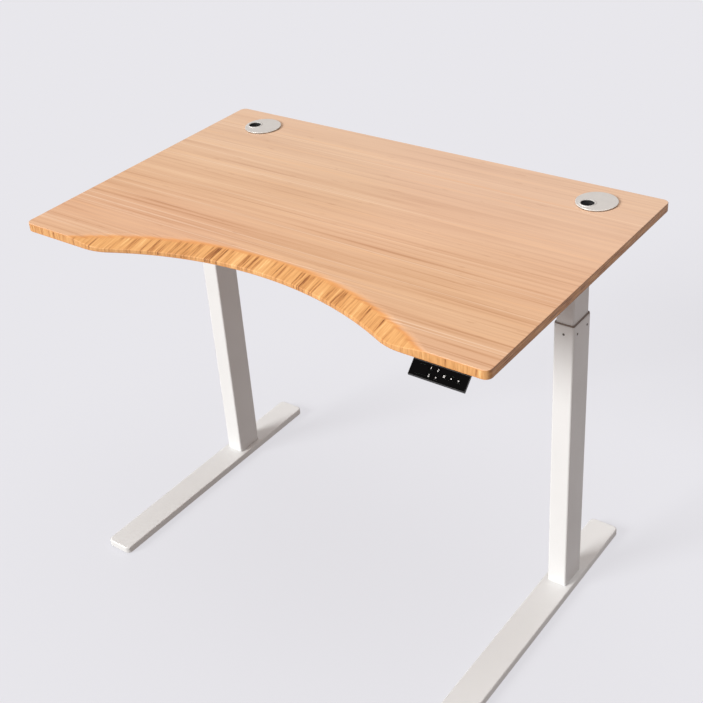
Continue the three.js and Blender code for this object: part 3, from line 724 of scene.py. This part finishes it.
def build_motor_leads():
    """Each lead leaves its motor cover, climbs to just under the desktop, runs level through two saddles and
    dips into its end of the control box. A knot's y is from the columns and its z from the underside."""
    saddle_places, saddle_y, saddle_reach = (0.19, 0.25), 0.0045, 0.0131
    face_gap = 0.0003
    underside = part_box("desktop")[0].z
    column_y = middle_of("outer_tube_right")[1]
    box_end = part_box("control_box_case")[1].x + face_gap
    for hand, side in (("left", -1), ("right", 1)):
        cover = min(abs(corner.x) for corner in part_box(f"motor_cover_{hand}")) - face_gap
        knots = [
            (cover, 0, -0.058), (cover - 0.008, 0, -0.058), (cover - 0.026, 0.002, -0.036),
            (cover - 0.048, 0.004, -0.018), (cover - 0.090, 0.005, -0.013), (box_end + 0.060, 0.003, -0.014),
            (box_end + 0.012, 0, -0.018), (box_end, 0, -0.018),
        ]
        knots = [(side * x, column_y + y, underside + z) for x, y, z in knots]
        tube = tube_along(smooth_route(knots), LEAD_RADIUS, across=(0, 1, 0))
        add_piece(f"motor_lead_jacket_{hand}", tube, jacket, "carriage",
                  [f"motor_lead_{hand}"], crease=60)
        centres = [(side * x, column_y + saddle_y, underside) for x in saddle_places]
        saddles = [saddle(centre, saddle_reach, heading=0) for centre in centres]
        add_piece(f"lead_saddles_{hand}", gather(saddles), black_moulding, "carriage")


def build_handset_lead():
    """The lead leaves the handset's back, runs slantwise under the desktop through three saddles, ducks under
    the front crossbar and enters the control box."""
    face_gap, exit_left, exit_behind_edge, plug_forward, rail_gap = 0.0003, 0.012, 0.0623, 0.024, 0.002
    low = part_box("desktop")[0]
    underside, front_edge = low.z, low.y
    rail_low, rail_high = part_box("crossbar_front")
    box_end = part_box("control_box_case")[1].x + face_gap
    plug_y = middle_of("control_box_case")[1] - plug_forward
    exit_x = middle_of("handset_case")[0] - exit_left
    back = front_edge + exit_behind_edge
    under_rail = rail_low.z - underside - LEAD_RADIUS - rail_gap
    knots = [
        (exit_x, back, -0.006), (exit_x, back + 0.012, -0.006), (exit_x - 0.040, back + 0.040, -0.005),
        (exit_x - 0.138, back + 0.092, -0.005), (box_end + 0.090, rail_low.y - 0.070, -0.005),
        (box_end + 0.050, rail_low.y - 0.030, -0.011), (box_end + 0.045, rail_low.y - 0.009, under_rail),
        (box_end + 0.040, rail_high.y + 0.008, under_rail), (box_end + 0.028, plug_y - 0.004, -0.024),
        (box_end + 0.012, plug_y, -0.022), (box_end, plug_y, -0.022),
    ]
    knots = np.array(knots) + (0, 0, underside)
    tube = tube_along(smooth_route(knots), LEAD_RADIUS, across=(0, 0, 1))
    add_piece("handset_lead_jacket", tube, jacket, "carriage", ["handset_lead"], crease=60)
    saddles = []
    for before, at, after in zip(knots[1:], knots[2:5], knots[3:]):
        ahead = after - before
        saddles.append(saddle((at[0], at[1], underside), underside - at[2], math.atan2(ahead[1], ahead[0])))
    add_piece("handset_lead_saddles", gather(saddles), black_moulding, "carriage")


build_motor_leads()
build_handset_lead()


# ---------------------------------------------------------------------------------------------------
# Desktop. Carbonised bamboo in three plies under a satin lacquer: the outer plies run left to right and
# the core runs front to back, so its strips show as stripes where the front is planed to a wide bevel.

# Where each curve ends on either side of the middle, how deep it is, and its end arcs' radius.
SCOOP = {"end": 0.380, "depth": 0.086, "shoulder": 0.130}
BEVEL = {"end": 0.446, "depth": 0.136, "shoulder": 0.040}
BEVEL_SLOPE = 0.2


def scoop_edge(x, front, end, depth, shoulder):
    """The scoop's y: a wide arc, deepest at x = 0, run into the straight edge by an arc at each end."""
    along = np.abs(x)
    radius = (end ** 2 + depth ** 2) / (2 * depth) - shoulder
    centre_y, shoulder_y = front + depth - radius, front + shoulder
    meet = radius * math.cos(math.atan2(centre_y - shoulder_y, end))
    wide = centre_y + np.sqrt(np.maximum(radius ** 2 - along ** 2, 0))
    turn = shoulder_y - np.sqrt(np.maximum(shoulder ** 2 - (end - along) ** 2, 0))
    return np.where(along <= meet, wide, np.where(along <= end, turn, front))


def desktop_outline(low, high, corner):
    """The desktop's edge, anticlockwise: the scooped front, then a quarter circle at each of four corners.
    A point that lies on the one before it is left out."""
    same_point = 1e-6
    half = (high.x - low.x) / 2
    along = np.linspace(-BEVEL["end"], BEVEL["end"], 181)
    front = np.concatenate([[-half + corner], along, [half - corner]])
    sweep = np.linspace(0, np.pi / 2, 9)
    stretches = [np.stack([front, scoop_edge(front, low.y, **SCOOP)], -1)]
    front_y, rear_y = low.y + corner, high.y - corner
    left_x, right_x = -half + corner, half - corner
    centres = [(right_x, front_y), (right_x, rear_y), (left_x, rear_y), (left_x, front_y)]
    for start, centre in zip((-np.pi / 2, 0, np.pi / 2, np.pi), centres):
        stretches.append(centre + corner * np.stack([np.cos(start + sweep), np.sin(start + sweep)], -1))
    outline = np.concatenate(stretches)
    apart = np.linalg.norm(outline - np.roll(outline, 1, axis=0), axis=1)
    return outline[apart > same_point]


def outward(outline):
    """The unit normal at each point of an anticlockwise outline, from its two neighbours."""
    along = np.roll(outline, -1, axis=0) - np.roll(outline, 1, axis=0)
    normal = np.stack([along[:, 1], -along[:, 0]], -1)
    return normal / np.linalg.norm(normal, axis=1, keepdims=True)


def bevel_drop(x, y, front, blend):
    """How far the bevel lies under the top: its slope times the way in front of its edge, eased in by a
    parabola that is blend wide on each side of the edge."""
    ahead = scoop_edge(x, front, **BEVEL) - y
    eased = np.where(ahead >= blend, ahead, (ahead + blend) ** 2 / (4 * blend))
    return BEVEL_SLOPE * np.where(ahead <= -blend, 0, eased)


def desktop_rings(low, high):
    """Rings of the outline: up over the rounded lower and upper edges, then on the scooped stretch back
    across the bevel until it meets the flat top. Each point's height is the top's less the bevel's drop."""
    corner, edge, crease, fade, strips = 0.014, 0.0013, 0.006, 0.05, 14
    outline = desktop_outline(low, high, corner)
    normal = outward(outline)
    in_bevel = (np.abs(outline[:, 0]) < BEVEL["end"]) & (outline[:, 1] < 0)
    from_end = np.clip((BEVEL["end"] - np.abs(outline[:, 0])) / fade, 0, 1)
    blend = np.where(in_bevel, crease * from_end, 0) + 1e-6

    def bevelled(x, y, below=0.0):
        drop = np.where(in_bevel, bevel_drop(x, y, low.y, blend), 0)
        return np.column_stack([x, y, high.z - drop - below])

    rings = []
    for angle in np.linspace(np.pi / 2, 0, 5):
        flat = outline - edge * (1 - math.cos(angle)) * normal
        rings.append(np.column_stack([flat, np.full(len(flat), low.z + edge * (1 - math.sin(angle)))]))
    for angle in np.linspace(0, np.pi / 2, 6):
        flat = outline - edge * (1 - math.cos(angle)) * normal
        rings.append(bevelled(flat[:, 0], flat[:, 1], below=edge * (1 - math.sin(angle))))
    x, y = rings[-1][:, 0], rings[-1][:, 1]
    bevel_back = np.where(in_bevel, scoop_edge(x, low.y, **BEVEL) + blend, y)
    bevel_back = np.maximum(bevel_back, y)
    for share in np.linspace(0, 1, strips + 1)[1:]:
        rings.append(bevelled(x, y + share * (bevel_back - y)))
    return rings


def desktop_shape():
    """The desktop's rings, a tube for each grommet hole, and the flat top and bottom, which are triangles
    between the edge's loop and the two holes' loops."""
    hole_radius, hole_sides = 0.040, 64
    low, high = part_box("desktop")
    rings = desktop_rings(low, high)
    points, faces = skin(rings)
    faces = faces[:-2]
    first_hole = len(points)

    turn = np.linspace(0, 2 * np.pi, hole_sides, endpoint=False)
    circle = hole_radius * np.stack([np.cos(turn), np.sin(turn)], -1)
    circles = [middle_of(f"grommet_sleeve_{hand}")[:2] + circle for hand in HANDS]
    levels = [np.column_stack([hole, np.full(hole_sides, z)]) for z in (low.z, high.z) for hole in circles]
    points = np.concatenate([points] + levels)
    here = np.arange(hole_sides)
    after = (here + 1) % hole_sides
    left_bottom, right_bottom, left_top, right_top = [first_hole + hole_sides * level for level in range(4)]
    for bottom, top in ((left_bottom, left_top), (right_bottom, right_top)):
        faces += np.stack([bottom + after, bottom + here, top + here, top + after], -1).tolist()

    around = len(rings[0])
    last = (len(rings) - 1) * around
    loops = {
        "top": [np.arange(last, last + around), left_top + here, right_top + here],
        "bottom": [np.arange(around), left_bottom + here, right_bottom + here],
    }
    for name, loop in loops.items():
        index = np.concatenate(loop)
        flat = [[Vector((points[i][0], points[i][1], 0)) for i in part] for part in loop]
        for triangle in tessellate_polygon(flat):
            a, b, c = index[list(triangle)]
            turns = np.cross(points[b][:2] - points[a][:2], points[c][:2] - points[a][:2])
            order = (a, b, c) if (turns > 0) == (name == "top") else (a, c, b)
            faces.append(tuple(int(i) for i in order))
    return points, faces


def weld(piece):
    """Merges the points that lie on each other, drops the faces that this closes up, and turns the rest
    outwards."""
    apart, crease = 2e-6, math.radians(35)
    work = bmesh.new()
    work.from_mesh(piece.data)
    bmesh.ops.remove_doubles(work, verts=work.verts, dist=apart)
    bmesh.ops.dissolve_degenerate(work, edges=work.edges, dist=apart)
    bmesh.ops.recalc_face_normals(work, faces=work.faces)
    for face in work.faces:
        face.smooth = True
    work.to_mesh(piece.data)
    work.free()
    piece.data.set_sharp_from_angle(angle=crease)


def step_between(tree, value, low, high):
    """0 where value is at low or before it, 1 from high on, and smooth between. Low may be the greater."""
    step = add_node(tree, "MapRange", interpolation_type="SMOOTHSTEP", From_Min=low, From_Max=high)
    tree.links.new(value, step.inputs["Value"])
    return step.outputs["Result"]


def arithmetic(tree, operation, first, second):
    """A Math node, whose inputs are each a socket or a number."""
    node = add_node(tree, "Math", operation=operation)
    for socket, value in zip(node.inputs, (first, second)):
        if isinstance(value, (int, float)):
            socket.default_value = value
        else:
            tree.links.new(value, socket)
    return node.outputs["Value"]


def colour_ramp(tree, value, stops):
    """A colour ramp over value, with (place, colour) stops."""
    ramp = add_node(tree, "ValToRGB")
    elements = ramp.color_ramp.elements
    elements[0].position, elements[0].color = stops[0]
    elements[1].position, elements[1].color = stops[-1]
    for place, colour in stops[1:-1]:
        elements.new(place).color = colour
    tree.links.new(value, ramp.inputs["Fac"])
    return ramp.outputs["Color"]


def blend_colours(tree, share, first, second, blend_type="MIX"):
    """Second over first by share. Each is a socket, a colour or a number."""
    mix = add_node(tree, "MixRGB", blend_type=blend_type)
    for socket, value in zip(mix.inputs, (share, first, second)):
        if isinstance(value, (int, float, tuple)):
            socket.default_value = value
        else:
            tree.links.new(value, socket)
    return mix.outputs["Color"]


def weighted(tree, first, share, second):
    """First times share, plus second times the rest."""
    return arithmetic(tree, "ADD", arithmetic(tree, "MULTIPLY", first, share),
                      arithmetic(tree, "MULTIPLY", second, 1 - share))


def face_ply(tree, strips, fibres, y):
    """The outer plies: strips and bands along X give the tone, and a painted sheen pales it towards the back,
    standing in for the light that the far top reflects. Over it lie fine dark fibres, thin pale glints and
    the short dark marks of the knuckles."""
    bands = noise(tree, (1.9, 34.0, 1.0), 2.0, 0.5, (3.1, 0.7, 0))
    drift = noise(tree, (1.3, 2.2, 0), 1.0, 0.5, (0.4, 5.2, 0))
    glints = noise(tree, (0.55, 240.0, 1.0), 2.0, 0.5, (7.7, 1.3, 0))
    knuckles = noise(tree, (26.0, 150.0, 2.0), 1.0, 0.4, (9.0, 2.0, 0))
    face = colour_ramp(tree, weighted(tree, strips, 0.68, bands), [
        (0.34, linear(204, 157, 122)), (0.42, linear(222, 181, 147)), (0.50, linear(231, 193, 161)),
        (0.58, linear(236, 200, 168)), (0.68, linear(246, 216, 188))])
    drifting = step_between(tree, drift, 0.35, 0.65)
    warmth = blend_colours(tree, drifting, linear(254, 247, 236), linear(255, 244, 238))
    face = blend_colours(tree, 1.0, face, warmth, "MULTIPLY")
    overlays = [
        # Painted sheen: the top is paler towards the back, in place of the light reflected off the far top.
        (step_between(tree, y, -0.20, 0.36), 0.50, linear(236, 210, 188)),
        (step_between(tree, fibres, 0.52, 0.75), 0.16, linear(192, 148, 112)),
        (step_between(tree, glints, 0.60, 0.72), 0.55, linear(250, 222, 196)),
        (step_between(tree, knuckles, 0.70, 0.80), 0.20, linear(176, 120, 80)),
    ]
    for where, share, colour in overlays:
        face = blend_colours(tree, arithmetic(tree, "MULTIPLY", where, share), face, colour)
    return face


def core_ply(tree, stripes, sideways):
    """The core: narrow and wide stripes by x where the cut shows the strips' ends, and long grain where the
    board's sides cut along them."""
    wide = noise(tree, (34.0, 3.0, 6.0), 2.0, 0.5, (4.0, 1.0, 0))
    ends = colour_ramp(tree, weighted(tree, stripes, 0.78, wide), [
        (0.33, linear(104, 60, 30)), (0.385, linear(164, 104, 58)), (0.43, linear(210, 149, 90)),
        (0.50, linear(231, 172, 109)), (0.58, linear(238, 183, 120)), (0.66, linear(255, 216, 154))])
    long_grain = noise(tree, (2.0, 20.0, 380.0), 4.0, 0.65, (0, 3.0, 0))
    side = colour_ramp(tree, long_grain, [
        (0.36, linear(142, 88, 46)), (0.46, linear(196, 136, 80)), (0.64, linear(230, 174, 112))])
    return blend_colours(tree, sideways, ends, side)


def three_ply_bamboo():
    """The face plies where the depth under the top is less than a ply's, and the core ply between them. The
    ply line wavers with the strips, and the planed bevel warms in colour as it cuts down to the core."""
    ply, ply_ease, waver, end_grain_share, core_height = 0.0026, 0.0010, 0.004, 0.65, 3.0
    planed_from, planed_to, back_edge, back_ply = 0.00005, 0.0022, 0.0012, 0.0030
    low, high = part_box("desktop")
    thickness = high.z - low.z
    material, tree, shader = new_material("three_ply_bamboo", linear(228, 184, 148), 0.42)
    shader.inputs["Specular IOR Level"].default_value = 0.35
    coords = add_node(tree, "TexCoord")
    place, facing = add_node(tree, "SeparateXYZ"), add_node(tree, "SeparateXYZ")
    tree.links.new(coords.outputs["Object"], place.inputs["Vector"])
    tree.links.new(coords.outputs["Normal"], facing.inputs["Vector"])
    sideways = step_between(tree, arithmetic(tree, "ABSOLUTE", facing.outputs["X"], 0), 0.6, 0.95)

    strips = noise(tree, (1.7, 130.0, 2.0), 4.0, 0.66)
    fibres = noise(tree, (14.0, 900.0, 60.0), 3.0, 0.6)
    stripes = noise(tree, (140.0, 6.0, 12.0), 4.0, 0.68)
    face = face_ply(tree, strips, fibres, place.outputs["Y"])
    core = core_ply(tree, stripes, sideways)

    depth = arithmetic(tree, "SUBTRACT", high.z, place.outputs["Z"])
    wavering = arithmetic(tree, "MULTIPLY", arithmetic(tree, "SUBTRACT", strips, 0.5), waver)
    cut_depth = arithmetic(tree, "ADD", depth, wavering)
    planed = blend_colours(tree, 1.0, face, linear(253, 222, 172), "MULTIPLY")
    surface = blend_colours(tree, step_between(tree, cut_depth, planed_from, planed_to), face, planed)
    under_face = step_between(tree, cut_depth, ply - ply_ease, ply + ply_ease)
    over_back = step_between(tree, depth, thickness - back_edge, thickness - back_ply)
    is_core = arithmetic(tree, "MULTIPLY", under_face, over_back)
    surface = blend_colours(tree, is_core, surface, core)
    is_face = arithmetic(tree, "SUBTRACT", 1.0, is_core)
    end_grain = arithmetic(tree, "MULTIPLY", arithmetic(tree, "MULTIPLY", sideways, is_face), end_grain_share)
    surface = blend_colours(tree, end_grain, surface, linear(142, 92, 52))
    tree.links.new(surface, shader.inputs["Base Color"])

    vary_gloss(tree, shader, strips, 0.38, 0.50)
    core_relief = arithmetic(tree, "MULTIPLY", stripes, arithmetic(tree, "MULTIPLY", is_core, core_height))
    relief = arithmetic(tree, "ADD", arithmetic(tree, "MULTIPLY", fibres, is_face), core_relief)
    emboss(tree, shader, relief, strength=0.12, distance=0.0006)
    return material


bamboo = three_ply_bamboo()
desktop = add_piece("desktop_board", desktop_shape(), bamboo, "carriage", ["desktop"])
weld(desktop)


# ---------------------------------------------------------------------------------------------------
# Cable grommets. A black moulded sleeve in each hole, and a satin silver cap that turns in it, with an
# off-centre cable hole inside a raised rim.

def turned_rings(centres, profile):
    """Circles for a lathe shape whose axis can shift. Each step of the profile is (share, radius, z), where
    share is how far the circle's centre has gone from the first of the two centres to the second."""
    first, second = centres
    sides = 72
    turn = np.linspace(0, 2 * np.pi, sides, endpoint=False)
    circle = np.stack([np.cos(turn), np.sin(turn), np.zeros(sides)], -1)
    return [first + share * (second - first) + radius * circle + (0, 0, z) for share, radius, z in profile]


def satin_silver():
    """Silver lacquer on moulded plastic: fine flake in the gloss and a faint mottle."""
    material, tree, shader = new_material("satin_silver", linear(232, 231, 229), 0.36, metallic=0.25)
    flake = noise(tree, 3200.0)
    vary_gloss(tree, shader, flake, 0.30, 0.44)
    vary_colour(tree, shader, noise(tree, 60.0), linear(236, 235, 232), linear(224, 223, 221))
    emboss(tree, shader, flake, strength=0.06, distance=0.0002)
    return material


silver = satin_silver()
CABLE_HOLE_RADIUS = 0.014
CABLE_HOLE_TURN = {"left": 194, "right": 235}


def sleeve_profile(low, high):
    """Up the outside of the sleeve, round the brim that rests on the desktop, and in to the bore."""
    inner, outer, brim_radius, brim = 0.0377, 0.0397, 0.0415, 0.0010
    under_edge, top_edge = 0.0002, 0.0003
    brim_low = high - brim
    return [
        (0, inner, low), (0, outer, low), (0, outer, brim_low), (0, brim_radius - under_edge, brim_low),
        (0, brim_radius, brim_low + under_edge), (0, brim_radius, high - top_edge),
        (0, brim_radius - top_edge, high), (0, inner + top_edge, high), (0, inner, high - top_edge),
    ]


def cap_profile(low, high):
    """Up the cable hole, over its raised rim, out across the disc, round the disc's edge, and back under it
    past the skirt that turns in the sleeve. Share 1 centres on the cable hole, and share 0 on the sleeve."""
    rim_outer, rim_rise, rim_edge, tube_outer = 0.0166, 0.0011, 0.0006, 0.0152
    disc_radius, disc, disc_edge, under_edge = 0.0425, 0.0018, 0.0009, 0.0002
    skirt_outer, skirt_inner, skirt_drop = 0.0373, 0.0358, 0.005
    face = high - rim_rise
    under = face - disc
    mid_edge = 0.3 * rim_edge
    rim = [
        (1, CABLE_HOLE_RADIUS, low), (1, CABLE_HOLE_RADIUS, high - rim_edge),
        (1, CABLE_HOLE_RADIUS + mid_edge, high - mid_edge), (1, CABLE_HOLE_RADIUS + rim_edge, high),
        (1, rim_outer - rim_edge, high), (1, rim_outer - mid_edge, high - mid_edge),
        (1, rim_outer, high - rim_edge), (1, rim_outer + 0.0001, face + 0.0001),
        (1, rim_outer + 0.0004, face), (0.5, (rim_outer + disc_radius) / 2, face),
    ]
    edge = [(0, disc_radius - disc_edge * (1 - math.sin(angle)), face - disc_edge * (1 - math.cos(angle)))
            for angle in np.linspace(0, np.pi / 2, 6)]
    underneath = [
        (0, disc_radius, under + under_edge), (0, disc_radius - under_edge, under), (0, skirt_outer, under),
        (0, skirt_outer, under - skirt_drop), (0, skirt_inner, under - skirt_drop), (0, skirt_inner, under),
        (1, tube_outer, under), (1, tube_outer, low),
    ]
    return rim + edge + underneath


def build_grommets():
    """The sleeve is turned about its own centre, the cap about the sleeve's centre and the cable hole's, and
    the cable hole's thin black liner about the hole's."""
    eye_offset = 0.0205
    liner_gap, liner_wall, liner_length, liner_below_rim = 0.00005, 0.0008, 0.0165, 0.0016
    for hand in HANDS:
        low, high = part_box(f"grommet_sleeve_{hand}")
        centre = middle_of(f"grommet_sleeve_{hand}") * (1, 1, 0)
        sleeve = turned_rings((centre, centre), sleeve_profile(low.z, high.z))
        add_piece(f"grommet_sleeve_liner_{hand}", skin(sleeve, joined=True),
                  black_moulding, "carriage", [f"grommet_sleeve_{hand}"])

        low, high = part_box(f"grommet_cap_{hand}")
        turn = math.radians(CABLE_HOLE_TURN[hand])
        eye = centre + eye_offset * np.array([math.cos(turn), math.sin(turn), 0])
        cap = turned_rings((centre, eye), cap_profile(low.z, high.z))
        add_piece(f"grommet_cap_disc_{hand}", skin(cap, joined=True),
                  silver, f"cable_cap_{hand}", [f"grommet_cap_{hand}"])

        outer = CABLE_HOLE_RADIUS - liner_gap
        inner = outer - liner_wall
        upper = high.z - liner_below_rim
        lower = upper - liner_length
        profile = [(0, outer, lower), (0, outer, upper), (0, inner, upper), (0, inner, lower)]
        add_piece(f"cable_liner_{hand}", skin(turned_rings((eye, eye), profile)[::-1], joined=True),
                  black_moulding, f"cable_cap_{hand}")


build_grommets()


# ---------------------------------------------------------------------------------------------------
# Handset. A black wedge-shaped case screwed under the front edge, with a glossy sloping face: a blank
# display window on the left, then four memory keys, a store key and the raise and lower keys.

def gloss_black():
    """Polished black plastic: dust in the gloss, and in a shade that is hardly lighter where it lies."""
    material, tree, shader = new_material("gloss_black", linear(5, 5, 6), 0.08)
    shader.inputs["Specular IOR Level"].default_value = 0.12
    dust = noise(tree, 650.0, 4.0)
    vary_gloss(tree, shader, dust, 0.05, 0.11, start=0.4, end=0.75)
    vary_colour(tree, shader, dust, linear(4, 4, 5), linear(10, 10, 11))
    return material


def white_ink():
    """Raised white printing, with the fine unevenness of ink in its shade."""
    material, tree, shader = new_material("white_ink", linear(245, 245, 245), 0.5)
    vary_colour(tree, shader, noise(tree, 2500.0), linear(250, 250, 250), linear(232, 232, 232))
    return material


polished = gloss_black()
ink = white_ink()
softened("handset_case", 0.0008, black_moulding)
softened("handset_face", 0.0002, polished)
softened("handset_display", 0.0001, polished)
laminate = moulded_plastic("circuit_laminate", linear(31, 90, 56), grain=1200.0, roughness=0.45)
repaint("handset_board", laminate)

# The face slopes at 45 degrees: straight out of it, up along it, and to its right.
FACE_OUT = np.array([0, -math.sqrt(0.5), math.sqrt(0.5)])
FACE_UP = np.array([0, math.sqrt(0.5), math.sqrt(0.5)])
FACE_RIGHT = np.array([1.0, 0, 0])


def bar(x, y, across, high):
    """An upright rectangle on a key, as its corners in millimetres, anticlockwise."""
    return [(x - across / 2, y - high / 2), (x + across / 2, y - high / 2),
            (x + across / 2, y + high / 2), (x - across / 2, y + high / 2)]


def legend(strokes, centre):
    """Flat strokes, given as outlines in millimetres on the key, each a slab that stands off the key's top
    by its thickness and starts a little below it."""
    thickness, sunk = 0.00006, 0.00002
    shapes = []
    for stroke in strokes:
        across, up = np.array(stroke).T[:, :, None] / 1000
        flat = across * FACE_RIGHT + up * FACE_UP + centre
        shapes.append(skin([flat - sunk * FACE_OUT, flat + thickness * FACE_OUT]))
    return gather(shapes)


def seven_segments(lit):
    """A digit in millimetres, of straight strokes: a top, b and c right, d bottom, e and f left, g mid."""
    width, height, stroke = 1.7, 3.4, 0.62
    places = {
        "a": bar(0, height / 2, width + stroke, stroke), "g": bar(0, 0, width - stroke, stroke),
        "d": bar(0, -height / 2, width + stroke, stroke),
        "b": bar(width / 2, height / 4, stroke, height / 2 - stroke),
        "c": bar(width / 2, -height / 4, stroke, height / 2 - stroke),
        "f": bar(-width / 2, height / 4, stroke, height / 2 - stroke),
        "e": bar(-width / 2, -height / 4, stroke, height / 2 - stroke),
    }
    return [places[segment] for segment in lit]


LEGENDS = {
    "memory_1": [bar(0, 0, 0.75, 3.8), [(-1.3, 0.9), (-0.37, 1.2), (-0.37, 1.9)]],
    "memory_2": seven_segments("abged"),
    "memory_3": seven_segments("abgcd"),
    "memory_4": seven_segments("fgbc"),
    "store": [bar(-1.2, 0, 0.6, 3.6), bar(1.2, 0, 0.6, 3.6), bar(0, 1.5, 1.8, 0.6), bar(0, -1.5, 1.8, 0.6),
              bar(0, 0, 0.9, 0.9)],
    "raise": [[(-1.5, -0.9), (1.5, -0.9), (0, 1.4)]],
    "lower": [[(1.5, 0.9), (-1.5, 0.9), (0, -1.4)]],
}


def build_keys():
    """Each key has its edges softened, and its legend stands on the middle of its sloping top."""
    key_thickness, key_edge = 0.0024, 0.0002
    for name, strokes in LEGENDS.items():
        softened(f"key_{name}", key_edge, polished)
        top = middle_of(f"key_{name}") + FACE_OUT * key_thickness / 2
        add_piece(f"key_{name}_legend", legend(strokes, top), ink, f"button_{name}")


build_keys()
